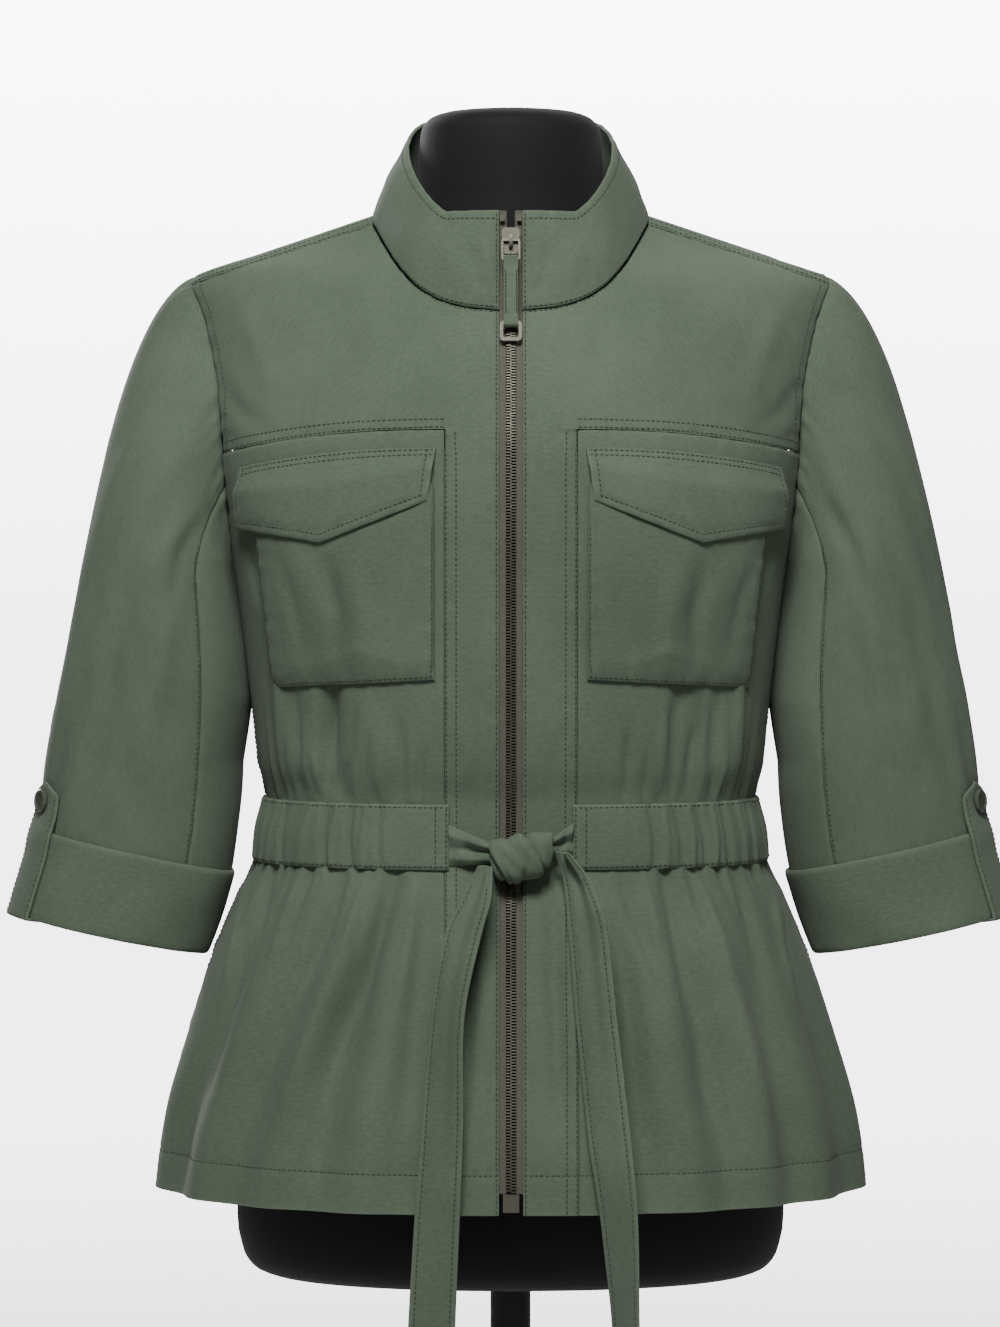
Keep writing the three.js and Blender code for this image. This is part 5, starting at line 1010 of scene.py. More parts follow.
front_x = np.array([ZIP_EDGE, 25, 41.35, 58, 72, 82, NECK_SIDE])
front_angle = np.array([4, 16, 29, 43, 57, 69, 80])
fine_x = spaced(ZIP_EDGE, NECK_SIDE, 2.0, (True, False))
base_front = on_body(fine_x, neck_z(fine_x))
top_front = collar_top(along(front_x, front_angle, fine_x))
top_front[:, 0] = np.where(fine_x < 7.6, ZIP_EDGE, top_front[:, 0])
top_front[:, 0] = np.maximum(top_front[:, 0], ZIP_EDGE + (fine_x - ZIP_EDGE) * 0.55)
behind_x = np.array([0, 27, 50, 70, NECK_SIDE])
behind_angle = np.array([180, 159, 138, 118, 91])
fine_b = spaced(NECK_SIDE, 0, 2.2, (False, False))
z_b = ridge_z(NECK_SIDE) + BACK_NECK_RISE * (1 - (fine_b / NECK_SIDE) ** 2)
base_behind = on_body(np.maximum(fine_b, 1e-6), z_b, 0, True)
top_behind = collar_top(along(behind_x, behind_angle, fine_b))
bases = np.concatenate([base_front, base_behind])
tops3 = np.concatenate([top_front, top_behind])
rows = np.array([0, 0.012, 0.03, *np.linspace(0.06, 0.94, 24), 0.97, 0.988, 1.0])
half = bases[None] + (tops3 - bases)[None] * rows[:, None, None]
rise = unit(tops3 - bases)
half = half + rise[None] * ((1 - rows) * 0.45)[:, None, None]
away = half - np.array([0, 2.0, 0])
away[..., 2] = 0
bulge = 2.5 * np.sin(np.pi * rows)[:, None] * np.clip((half[..., 0] - 8.5) / 6, 0, 1)
half = half + unit(away) * bulge[..., None]
grid = np.concatenate([half, half[:, -2::-1] * np.array([-1, 1, 1])], 1)
guide = grid - np.array([0, 2.0, 0])
guide[..., 2] = 0
normal = normals_of(grid, guide)
columns = grid.shape[1]


def collar_place(share, height):
    column = share * (columns - 1) / 2 if share >= 0 else (2 + share) * (columns - 1) / 2
    return grid[int(round(height * (len(rows) - 1))), int(round(column))]


lines = [([collar_place(a, b), collar_place(c, d), collar_place(e, f)], wide, depth)
         for a, b, c, d, e, f, wide, depth in COLLAR_CREASES]
s_round, s_up = lengths(grid, 1), lengths(grid, 0)
end_d = np.minimum(s_round, s_round[:, -1:] - s_round)
top_d = s_up[-1:] - s_up
out = (
    creases(grid, lines) + puckers(top_d, s_round, 0.28, 15, 3, 9)
    + puckers(s_up, s_round, 0.32, 14, 5, 9) + puckers(end_d, s_up, 0.2, 12, 7, 7)
    + turned_edge(s_up, 0.8) + turned_edge(top_d, 0.5) + turned_edge(end_d, 0.5)
    + 0.5 * ripple(s_round, 80, 2) * np.sin(np.pi * rows)[:, None]
)
grid = grid + normal * out[..., None]
cloth("collar", grid, guide, 2.2, TWILL,
      worn=0.3 * np.exp(-top_d / 1.5))
sew("collar", "high", 5.5)
sew("collar", "low", 2.0)
sew("collar", "near", 1.6)
sew("collar", "far", 1.6)

# Waist casing: a doubled band over the drawn waist, ribbed by its drawstring's gathers.
# Two fronts end beside the zip, and the back joins them at the side seams.
CASING_CREASES = [
    # turn at the top and at the bottom, width in mm and depth
    (-0.79, -0.80, 4, -2.2), (-0.72, -0.74, 3.4, 1.5), (-0.68, -0.66, 4, -2.4),
    (-0.55, -0.57, 4.5, 1.3), (-0.49, -0.47, 4, -2.6), (-0.44, -0.455, 3.2, 1.6),
    (-0.40, -0.385, 3.2, -2.0), (-0.345, -0.35, 3, 1.2), (-0.31, -0.30, 3.5, -1.4),
    (0.335, 0.34, 3.5, -1.6), (0.375, 0.37, 3, 1.2), (0.415, 0.43, 4, -2.4),
    (0.46, 0.455, 3, 1.6), (0.495, 0.51, 3.6, -2.2), (0.555, 0.54, 3.2, 1.4),
    (0.60, 0.605, 4, -2.6), (0.68, 0.69, 4, 1.4), (0.76, 0.745, 4, -2.0), (0.85, 0.86, 4, 1.3),
    (0.93, 0.92, 4, -1.8), (-0.88, -0.87, 4, 1.3), (-0.94, -0.95, 4, -1.8),
    (1.07, 1.08, 4, -2.0), (1.15, 1.14, 4, 1.4), (1.22, 1.23, 4, -2.3), (1.31, 1.30, 3.6, 1.4),
    (1.38, 1.39, 4, -2.2), (1.47, 1.48, 4, -1.6), (1.55, 1.54, 3.6, 1.5), (1.63, 1.64, 4, -2.4),
    (1.72, 1.71, 3.6, 1.5), (1.80, 1.81, 4, -2.1), (1.89, 1.88, 4, 1.3), (1.97, 1.98, 4, -2.3),
    (-1.06, -1.07, 4, -2.1), (-1.14, -1.15, 4, 1.4), (-1.24, -1.22, 4, -2.3),
    (-1.33, -1.34, 3.6, 1.5), (-1.42, -1.41, 4, -2.0), (-1.5, -1.51, 3.6, 1.3),
    (-1.58, -1.57, 4, -2.4), (-1.67, -1.68, 3.6, 1.5), (-1.76, -1.75, 4, -2.2),
    (-1.85, -1.86, 4, 1.4), (-1.93, -1.92, 4, -2.0),
]


def casing_face(turn, z, share_up):
    """The band stands 2.35 mm off the body, its middle swells and its gathers cross it."""
    s = turn * WAIST_TURN
    out = 2.35 + 1.3 * np.sin(np.pi * share_up) ** 0.7
    for high, low, wide, depth in CASING_CREASES:
        centre = (low + (high - low) * share_up) * WAIST_TURN
        q = ((s - centre) / wide) ** 2
        out = out + 1.35 * depth * (1 - 0.5 * q) * np.exp(-q)
    side_share = np.clip((np.abs(turn) - 0.2) / 0.1, 0, 1)
    out += 0.35 * side_share * ripple(s, 11, 6.2) * (0.6 + 0.4 * np.cos(2 * np.pi * share_up))
    return np.maximum(out, 0.9)


casing_up = np.array([0, 0.02, 0.05, *np.linspace(0.09, 0.91, 15), 0.95, 0.98, 1.0])
for side, sign in SIDES:
    first = turn_of(CASING_END, 1042.0)
    last = 1 - GAP / 2 / (ring_at(1042.0)[1] * 1.5)
    turns = np.concatenate([
        [first, first + 0.0028, first + 0.006], np.arange(first + 0.012, last - 0.008, 0.0068),
        [last - 0.006, last - 0.0025, last]])
    z = (CASING_LOW + (CASING_HIGH - CASING_LOW) * casing_up)[:, None] + 0 * turns
    first_z = turn_of(CASING_END, z)
    turn = sign * (first_z + (turns - first) * (last - first_z) / (last - first))
    up = casing_up[:, None] + 0 * turns
    s = np.abs(turn) * WAIST_TURN
    end_d = np.minimum(s - s[:, :1], s[:, -1:] - s)
    edge_d = np.minimum(up, 1 - up) * (CASING_HIGH - CASING_LOW)
    out = casing_face(turn, z, up) + turned_edge(end_d, 0.8) + turned_edge(edge_d, 1.0, 3)
    out += 0.5 * ripple(s, 13, 4 + sign) * np.exp(-edge_d / 3) * (s > 60)
    normal = body_normal(turn, z)
    cloth(f"waist_casing_front_{side}", body_point(turn, z) + normal * out[..., None], normal,
          1.6, TWILL,
          worn=0.3 * np.exp(-edge_d / 1.2))
    node = f"waist_casing_front_{side}"
    for edge_side in ("low", "high"):
        sew(node, edge_side, 2.2)
    sew(node, "near", 1.8)
    sew(node, "near", 8.5)
turns = np.concatenate([[-0.9985, -0.996, -0.992], np.arange(-0.986, 0.987, 0.0075),
                        [0.992, 0.996, 0.9985]])
z = (CASING_LOW + (CASING_HIGH - CASING_LOW) * casing_up)[:, None] + 0 * turns
turn = np.where(turns < 0, -1, 1) * (2 - np.abs(turns)) + 0 * z
up = casing_up[:, None] + 0 * turns
end_d = (0.9985 - np.abs(turns)) * WAIST_TURN + 0 * z
edge_d = np.minimum(up, 1 - up) * (CASING_HIGH - CASING_LOW)
out = casing_face(turn, z, up) + turned_edge(end_d, 0.8) + turned_edge(edge_d, 1.0, 3)
out += 0.5 * ripple(turns * WAIST_TURN, 13, 11) * np.exp(-edge_d / 3)
normal = body_normal(turn, z)
cloth("waist_casing_back", body_point(turn, z) + normal * out[..., None], normal, 1.6, TWILL,
      worn=0.3 * np.exp(-edge_d / 1.2))
for edge_side in ("low", "high"):
    sew("waist_casing_back", edge_side, 2.2)

# Sleeves: an upper and an under piece each, from the armhole to the sleeve's end.
# The ring columns are distance down, centre x, y, z, half width, depth and tilt.
SLEEVE_RINGS = np.array([
    (0, 229.2, 5, 1203, 49.6, 62, 5), (43, 230.4, 4, 1160, 56.6, 60, 8),
    (91, 234, 2, 1112, 62.5, 57, 10.5), (133, 238, 0, 1070, 65, 53, 12),
    (175, 243, -2, 1029, 64, 50, 12.5), (231, 259, -6, 974, 62.5, 49, 12),
])
CUFF_TOP, CUFF_BOTTOM = 175.0, 230.0


def arm_stations():
    """Turn and height of the armhole's stations: front from the armpit up, then the back down."""
    found = []
    for zz in ARMHOLE[:5, 0]:
        climb = (zz - PIT) / (YOKE_ARM - PIT)
        xx = armhole_x(zz)
        z_at = PIT + climb * (yoke_z(xx) - GAP / 2 - PIT)
        if zz == PIT:
            found.append((1 - GAP / 2 / (ring_at(PIT)[1] * 1.5), PIT))
        else:
            found.append((float(turn_of(xx, z_at)), float(z_at)))
    for zz in ARMHOLE[5:-1, 0]:
        climb = (zz - YOKE_ARM) / (SEAM_ARM - YOKE_ARM)
        xx = float(armhole_x(zz))
        low_at = yoke_z(xx) + GAP / 2
        z_at = low_at + (ridge_z(armhole_x(SEAM_ARM)) - SEAM_DROP - low_at) * climb
        found.append((float(turn_of(xx, z_at)), float(z_at)))
    tip_z = ARM_TOP - 2.2
    found.append((float(turn_of(TIP_X, tip_z)), tip_z))
    for zz in ARMHOLE[:0:-1, 0]:
        found.append((float(turn_of(armhole_x(zz, True), zz, True)), float(zz)))
    return np.array(found)


ARM = arm_stations()
ARM_POINTS = body_point(ARM[:, 0], ARM[:, 1])
ARM_ANGLES = np.arctan2(-(ARM_POINTS[:, 1] - 4) / 45, (ARM_POINTS[:, 2] - 1313) / 86)
ARM_ANGLES[0] = np.pi
LOOP = len(ARM)


def loop_place(position):
    """Start point on the body and angle round the sleeve; positions wrap at the armpit."""
    p = np.mod(position, LOOP)
    index = np.arange(LOOP + 1)
    turn = along(index, np.append(ARM[:, 0], ARM[0, 0]), p)
    z = along(index, np.append(ARM[:, 1], ARM[0, 1]), p)
    angle = np.interp(p, index, np.append(ARM_ANGLES, -np.pi))
    return body_point(turn, z), angle


def sleeve_ring(angle, down, lift=0.0):
    ring = [along(SLEEVE_RINGS[:, 0], SLEEVE_RINGS[:, k], down) for k in range(1, 7)]
    cx, cy, cz, half_wide, depth, tilt = ring
    tilt = np.radians(tilt)
    out_x = (half_wide + lift) * np.cos(angle)
    return np.stack([
        cx + out_x * np.cos(tilt), cy - (depth + lift) * np.sin(angle),
        cz + out_x * np.sin(tilt)], -1)


def sleeve_point(position, step):
    """Hermite curve from the armhole to the armpit section, then the rings: step > 1 is below."""
    start, angle = loop_place(position)
    start = start + np.array([GAP + 0.05, 0, 0])
    end = sleeve_ring(angle, 0.0)
    reach = np.linalg.norm(end - start, axis=-1)[..., None]
    leave = unit(np.stack([
        0.675 + 0.175 * np.cos(angle), -0.3 * np.sin(angle), -0.6 + 0.25 * np.cos(angle)], -1))
    arrive = unit(sleeve_ring(angle, 6.0) - end)
    t = np.clip(step, 0, 1)[..., None]
    t2, t3 = t * t, t * t * t
    cap = (
        start * (2 * t3 - 3 * t2 + 1) + leave * (t3 - 2 * t2 + t) * reach * 0.62
        + end * (3 * t2 - 2 * t3) + arrive * (t3 - t2) * reach * 0.9
    )
    tube = sleeve_ring(angle, np.maximum(step - 1, 0) * 100)
    return np.where((step < 1)[..., None], cap, tube)


SLEEVE_CREASES = [
    # three places as position round, distance down in steps; width and depth
    (7.5, 0.15, 8.2, 0.7, 8.6, 1.25, 11, 1.3), (5.2, 0.3, 6.2, 0.9, 7.0, 1.5, 12, -1.8),
    (9.5, 0.6, 9.2, 1.5, 9.6, 2.4, 14, 1.5), (6.6, 1.2, 6.9, 1.9, 7.4, 2.6, 12, -1.6),
    (11.5, 0.7, 11.3, 1.4, 11.8, 2.2, 15, -1.3), (4.6, 0.8, 5.0, 1.5, 5.6, 2.2, 10, 1.6),
    (13.5, 0.5, 14, 1.3, 13.8, 2.3, 15, 1.4), (16.5, 0.4, 16.2, 1.2, 16.6, 2.1, 13, -1.6),
    (18.6, 0.3, 18.0, 1.0, 17.6, 1.8, 11, 1.4), (8.4, 2.0, 8.8, 2.35, 9.6, 2.6, 9, -1.4),
    (3.6, 0.4, 4.2, 0.8, 4.8, 1.2, 8, -1.6), (19.6, 0.35, 19.2, 0.8, 18.6, 1.3, 8, -1.6),
    (12.4, 1.9, 12.9, 2.2, 13.8, 2.5, 10, 1.2),
]

upper_positions = np.concatenate([
    [3.008, 3.03, 3.07], np.arange(3.15, LOOP - 3.14, 0.11),
    [LOOP - 3.07, LOOP - 3.03, LOOP - 3.008]])
under_positions = np.concatenate([
    [-2.992, -2.97, -2.93], np.arange(-2.85, 2.86, 0.12), [2.93, 2.97, 2.992]])
steps = np.concatenate([
    [0, 0.006, 0.016], np.arange(0.035, 1, 0.021), 1 + np.arange(0, 2.22, 0.028),
    [3.235, 3.25]])
# The cap's first rows run on under the body's edge, as the sewn seam does: mm on and in, and
# the share of them for each row.
TUCK_ON, TUCK_IN, TUCK_ROWS = 3.0, 1.6, np.array([1.0, 0.55, 0.2])
for part, positions in (("upper", upper_positions), ("under", under_positions)):
    position, step = np.broadcast_arrays(positions[None, :], steps[:, None])
    base = sleeve_point(position, step)
    across = sleeve_point(position + 0.12, step) - sleeve_point(position - 0.12, step)
    ahead = sleeve_point(position, step + 0.02) - sleeve_point(position, np.maximum(0, step - 0.02))
    guide = unit(np.cross(ahead, across))
    for side, sign in SIDES:
        lines = []
        for a, b, c, d, e, f, wide, depth in SLEEVE_CREASES:
            slip = 0.35 if sign > 0 else -0.3
            ends = [sleeve_point(np.array(p + slip), np.array(q))
                    for p, q in ((a, b), (c, d), (e, f))]
            lines.append((ends, wide, depth * (1.0 if sign > 0 else 0.9)))
        cap_d, side_s = lengths(base, 0), lengths(base, 1)
        seam_d = np.minimum(side_s, side_s[:, -1:] - side_s)
        s_cap = side_s[3:4] + 0 * side_s
        out = (
            1.7 * creases(base, lines) + puckers(cap_d, s_cap, 0.55, 13, 3 + sign, 13)
            + puckers(seam_d, cap_d, 0.4, 18, 6 + sign, 9)
            + turned_edge(seam_d, 0.9) + turned_edge(cap_d, 0.4)
            + 0.5 * ripple(cap_d + 0.4 * side_s, 85, 2 + sign) * ripple(side_s, 60, 5)
        )
        if part == "under":
            height = base[..., 2]
            high = np.clip((height - 1085) / 40, 0, 1) * np.clip((1245 - height) / 30, 0, 1)
            out = out + 5.8 * high * (1 - (positions / 3.0) ** 4)
        down_sleeve = unit(base[6] - base[1])
        tuck = np.zeros(base.shape[:2])
        tuck[:3] = TUCK_ROWS[:, None]
        tucked = base - tuck[..., None] * (TUCK_ON * down_sleeve + TUCK_IN * guide)
        grid = (tucked + guide * out[..., None]) * np.array([sign, 1, 1])
        facing = guide * np.array([sign, 1, 1])
        cloth(f"sleeve_{part}_{side}", grid, facing, CLOTH, TWILL)
        if part == "upper":
            sew(f"sleeve_upper_{side}", "near", 2.2, 0.25, 0.87)
            sew(f"sleeve_upper_{side}", "far", 2.2, 0.25, 0.87)

# Turned-back cuffs: a doubled band round each sleeve's end, a little slack at its top edge.
# Each is one closed ring on the sleeve's own sections.
cuff_share = np.array([0, 0.012, 0.03, *np.linspace(0.07, 0.93, 17), 0.97, 0.988, 1.0])
CUFF_COLUMNS = 192
cuff_positions = np.linspace(0, LOOP, CUFF_COLUMNS)
for side, sign in SIDES:
    down = (CUFF_TOP + (CUFF_BOTTOM - CUFF_TOP) * cuff_share)[:, None] + 0 * cuff_positions
    angle = loop_place(cuff_positions)[1][None, :] + 0 * down
    angle[:, -1] = -np.pi
    s = angle * 58
    top_d = down - CUFF_TOP
    low_d = CUFF_BOTTOM - down
    slack = 1.6 * np.exp(-top_d / 16)
    wave = (np.sin(angle * 3 + 0.6) + 0.6 * np.sin(angle * 7 + 2 + sign)) * 0.7
    out = (
        2.9 + slack * (0.5 + 0.4 * np.sin(angle * 2 + 1 + sign)) + wave * np.exp(-top_d / 30)
        + 0.4 * np.sin(angle * 11 + 1) * np.exp(-low_d / 8) + turned_edge(top_d, 1.2, 3)
        + turned_edge(low_d, 1.2, 3) + 0.3 * np.sin(angle * 5 + down / 9)
    )
    mirror = np.array([sign, 1, 1])
    grid = sleeve_ring(angle, down, out) * mirror
    guide = (sleeve_ring(angle, down, out + 5) - sleeve_ring(angle, down, out)) * mirror
    cloth(f"cuff_{side}", grid, guide, 2.2, TWILL,
          wrap=True,
          worn=0.35 * np.exp(-np.minimum(top_d, low_d) / 1.5))

# Sleeve tabs: a strap from inside the cuff, round its lower edge and up to its button.
# The path's columns are the lift off the sleeve and the distance down it.
TAB_PATH = np.array([
    (-3.9, 208), (-3.9, 230), (-3.2, 233), (0, 234.5), (3.6, 233.6), (5.4, 230), (5.4, 205),
    (5.6, 190), (5.4, 178), (4.6, 171), (3.0, 163), (2.4, 155), (2.4, 149), (2.4, 143),
])
for side, sign in SIDES:
    knots = np.concatenate([[0], np.cumsum(np.hypot(*np.diff(TAB_PATH, axis=0).T))])
    fine = spaced(0, knots[-1], 1.6)
    path_lift, path_down = along(knots, TAB_PATH[:, 0], fine), along(knots, TAB_PATH[:, 1], fine)
    column = np.array([-1, -0.95, -0.88, *np.linspace(-0.78, 0.78, 9), 0.88, 0.95, 1])
    share = fine[:, None] / knots[-1] + 0 * column
    pointed = 7 * np.abs(column) * np.clip((share - 0.9) / 0.1, 0, 1)
    down = path_down[:, None] + pointed
    edge_d = (1 - np.abs(column)) * 14 + 0 * share
    tip_d = knots[-1] - fine[:, None] + 0 * share
    start_d = fine[:, None] + 0 * share
    lift = path_lift[:, None] + 1.0 + turned_edge(np.minimum(edge_d, tip_d), 0.5)
    lift = lift + 0.25 * ripple(start_d, 24, 5 + sign)
    angle = np.radians(26 + 15 * column)[None, :] + 0 * share
    inside = fine[:, None] < 24
    lift = np.where(inside, path_lift[:, None] - 1.0, lift)
    grid = sleeve_ring(angle, down, lift) * np.array([sign, 1, 1])
    middle_row = len(fine) * 2 // 3
    across = np.gradient(grid, axis=1)
    ahead = np.gradient(grid, axis=0)
    facing = unit(np.cross(across, ahead))
    if facing[middle_row, 7, 0] * sign < 0:
        facing = -facing
    cloth(f"sleeve_tab_{side}", grid, facing, 1.8, TWILL,
          worn=0.3 * np.exp(-np.minimum(edge_d, tip_d) / 1.2))
    node = f"sleeve_tab_{side}"
    sew(node, "near", 2.2, 0.3, 0.97)
    sew(node, "far", 2.2, 0.3, 0.97)

# Chest pockets: a bag that stands off the side front on its bellows, under a pointed flap.
# Both are laid on the body's surface and moved out from it.
BAG_CREASES = [
    # share across and share down at three places, width and depth
    (0.62, 0.32, 0.60, 0.66, 0.63, 1.0, 9, -3.2), (0.45, 0.4, 0.43, 0.7, 0.46, 0.97, 9, 1.8),
    (0.12, 0.45, 0.16, 0.7, 0.24, 0.95, 6, -1.5),
    (0.9, 0.35, 0.84, 0.6, 0.80, 0.9, 7, -1.4), (0.2, 0.9, 0.45, 0.84, 0.7, 0.9, 6, 0.8),
    (0.72, 0.3, 0.66, 0.5, 0.58, 0.66, 9, -1.0),
]
bag_u = np.concatenate([[0, 0.006, 0.014, 0.024, 0.036], np.arange(0.05, 0.955, 0.016),
                        [0.964, 0.976, 0.986, 0.994, 1.0]])
bag_v = np.concatenate([np.arange(0, 0.95, 0.016), [0.958, 0.968, 0.978, 0.986, 0.993, 1.0]])
flap_u = np.concatenate([[0, 0.006, 0.014], np.arange(0.028, 0.54, 0.0135), [0.55],
                         np.arange(0.5635, 0.98, 0.0135), [0.986, 0.994, 1.0]])
flap_v = np.concatenate([[0, 0.015, 0.035], np.arange(0.06, 0.95, 0.032), [0.965, 0.985, 1.0]])
FLAP_LIFTS = np.array([(0, 2.5), (0.2, 5.2), (0.42, 8.5), (0.75, 8.6), (1, 8.0)])
for side, sign in SIDES:
    v, uu = np.meshgrid(bag_v, bag_u, indexing="ij")
    outer_x = 163 + (149 - 163) * v
    x = 47.5 + (outer_x - 47.5) * uu
    z_low = 1141.5 - 6 * uu
    z = 1262 + (z_low - 1262) * v
    near_d, far_d, foot_d = uu * 110, (1 - uu) * 110, (1 - v) * 122
    rise_near = np.clip(near_d / 2.6, 0, 1)
    rise_far = np.clip(far_d / 4.5, 0, 1)
    rise_foot = np.clip(foot_d / 15.0, 0, 1)
    rise = rise_near * (2 - rise_near) * rise_far * (2 - rise_far) * rise_foot * (2 - rise_foot)
    base = on_body(sign * x, z, 2.2)
    lines = []
    for a, b, c, d, e, f, wide, depth in BAG_CREASES:
        ends = []
        for across, fall in ((a, b), (c, d), (e, f)):
            i = int(np.argmin(np.abs(bag_v - fall)))
            j = int(np.argmin(np.abs(bag_u - (across + 0.03 * sign))))
            ends.append(base[i, j])
        lines.append((ends, wide, depth))
    out = (
        3.0 * rise + creases(base, lines) * rise + puckers(foot_d, x, 0.35, 12, 3 + sign, 10)
        + puckers(far_d, z, 0.35, 14, 5 + sign, 9) + puckers(near_d, z, 0.3, 14, 7 + sign, 8)
    )
    normal = body_normal(sign * turn_of(x, z), z)
    cloth(f"pocket_bag_{side}", base + normal * out[..., None], normal, CLOTH, TWILL)
    node = f"pocket_bag_{side}"
    sew(node, "high", 2.0)
    sew(node, "near", 2.4, 0.2, 0.98)
    sew(node, "far", 4.0, 0.2, 0.98)

    v, uu = np.meshgrid(flap_v, flap_u, indexing="ij")
    inner_x = 46.5 + 4.5 * v
    x = inner_x + (170 - inner_x) * uu
    top_z = 1285 - 11 * uu**2.2
    low_z = np.where(uu < 0.55, 1252 + (1227 - 1252) * uu / 0.55,
                     1227 + (1236 - 1227) * (uu - 0.55) / 0.45)
    z = top_z + (low_z - top_z) * v
    near_d, far_d, foot_d, head_d = uu * 121, (1 - uu) * 121, (1 - v) * 46, v * 46
    lift = along(FLAP_LIFTS[:, 0], FLAP_LIFTS[:, 1], v)
    lift = lift - 1.6 * np.clip(1 - near_d / 22, 0, 1) * v - 1.2 * np.clip(1 - far_d / 25, 0, 1) * v
    edge_d = np.minimum(np.minimum(near_d, far_d), foot_d)
    out = (
        lift + turned_edge(edge_d, 0.7, 2.4) + puckers(edge_d, x + z, 0.28, 13, 4 + sign, 9)
        + puckers(head_d, x, 0.3, 14, 6 + sign, 8) - 0.4 * np.exp(-(((edge_d - 5.2) / 1.6) ** 2))
        + 0.35 * ripple(x, 55, 2 + sign) * v
    )
    base = on_body(sign * x, z)
    normal = body_normal(sign * turn_of(x, z), z)
    cloth(f"pocket_flap_{side}", base + normal * out[..., None], normal, 1.6, TWILL,
          worn=0.35 * np.exp(-edge_d / 1.4))
    node = f"pocket_flap_{side}"
    sew(node, "near", 5.2, 0.02, 0.9)
    sew(node, "far", 5.2, 0.02, 0.9)
    sew(node, "high", 5.2, 0.04, 0.96)
    for inset in (1.6, 5.0):
        sew(node, "low", inset, 0.01, 0.99)

# Zip: tapes behind the cloth's edges and two rows of meshed teeth from the hem to the collar.
# All of it follows one line, up the centre front and on up the collar's edge.
TEETH_LOW, TEETH_PITCH, TOOTH_MIDDLE = 827.0, 1.9, 1.3
COLLAR_START = 546  # mm up the zip, where the tapes step back behind the collar
front_line = on_body(np.zeros(200), np.linspace(TEETH_LOW, 1372.0, 200))
collar_line = half[4:, 0].copy()
collar_line[:, 0] = 0
zip_path = np.concatenate([front_line, collar_line])
zip_s = np.concatenate([[0], np.cumsum(np.linalg.norm(np.diff(zip_path, axis=0), axis=1))])


def on_zip(s, x, lift):
    """A point beside the zip's line: x across, lift out along the line's normal."""
    s, x, lift = np.broadcast_arrays(s, x, lift)
    def at(where):
        return np.stack([np.interp(where, zip_s, zip_path[:, k]) for k in range(3)], -1)
    run = unit(at(np.minimum(s + 4, zip_s[-1])) - at(np.maximum(s - 4, 0)))
    normal = np.stack([0 * run[..., 0], -run[..., 2], run[..., 1]], -1)
    return at(s) + normal * lift[..., None] + np.stack([x, 0 * x, 0 * x], -1)


zip_end = zip_s[-1]
tape_s = np.linspace(0, zip_end, 330)
for side, sign in SIDES:
    across = np.array([2.6, 3.2, 4.2, 5.6, 7.0, 9.0, 11.5, 13.6])
    s, xx = np.meshgrid(tape_s, across, indexing="ij")
    behind = np.clip((s - COLLAR_START) / 10, 0, 1)
    back_off = behind * 1.2 + behind * (np.clip((xx - 7) / 7, 0, 1) * 2.0)
    cord = 0.5 * np.exp(-(((xx - 3.4) / 0.7) ** 2))
    grid = on_zip(s, sign * xx, -2.1 - back_off + cord + 0.1 * np.cos(s * 2.2))
    guide = np.zeros_like(grid)
    guide[..., 1] = -1
    cloth(f"zip_tape_{side}", grid, guide, 0.7, TAPE)


def zip_teeth():
    """Each tooth is a seven-sided prism, narrow at the tape and wide at the head, open behind.
    The other row is half a pitch on. The last face of its top overlaps the one before it."""
    outline = np.array([
        (3.15, -0.42), (0.7, -0.42), (-0.25, -0.72), (-0.62, 0), (-0.25, 0.72), (0.7, 0.42),
        (3.15, 0.42)])
    points, quads, count = [], [], 0
    size = len(outline)
    for sign, start in ((1, 0.0), (-1, 0.5)):
        places = (np.arange(int((zip_end - 14) / TEETH_PITCH)) + start) * TEETH_PITCH + 1
        for deep, inset in ((-0.35, 0.82), (-0.75, 1.0), (-2.2, 1.0)):
            for across, ahead in outline:
                xx = TOOTH_MIDDLE + (across - TOOTH_MIDDLE) * inset
                points.append(on_zip(places + ahead * inset, sign * xx, deep))
        layer = np.stack(points[-3 * size :], 1).reshape(-1, 3)
        del points[-3 * size :]
        points.append(layer)
        one = []
        for ring in range(2):
            for k in range(size):
                a, b = ring * size + k, ring * size + (k + 1) % size
                one.append((a, b, b + size, a + size))
        one += [(0, 6, 5, 1), (1, 5, 4, 2), (2, 3, 4, 1)]
        one = np.array(one)
        if sign < 0:
            one = one[:, ::-1]
        base = np.arange(len(places))[:, None, None] * (3 * size)
        quads.append((base + one).reshape(-1, 4) + count)
        count += len(layer)
    return np.concatenate(points), np.concatenate(quads)


teeth_points, teeth_quads = zip_teeth()
teeth_mesh = mesh_from("zip_teeth_rows", teeth_points, teeth_quads)
teeth_mesh.set_sharp_from_angle(angle=math.radians(40))
teeth_mesh.materials.append(ZIP_METAL)
teeth = bpy.data.objects.new("zip_teeth_rows", teeth_mesh)
bpy.context.scene.collection.objects.link(teeth)
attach(teeth, "jacket_and_form")
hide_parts("zip_teeth")

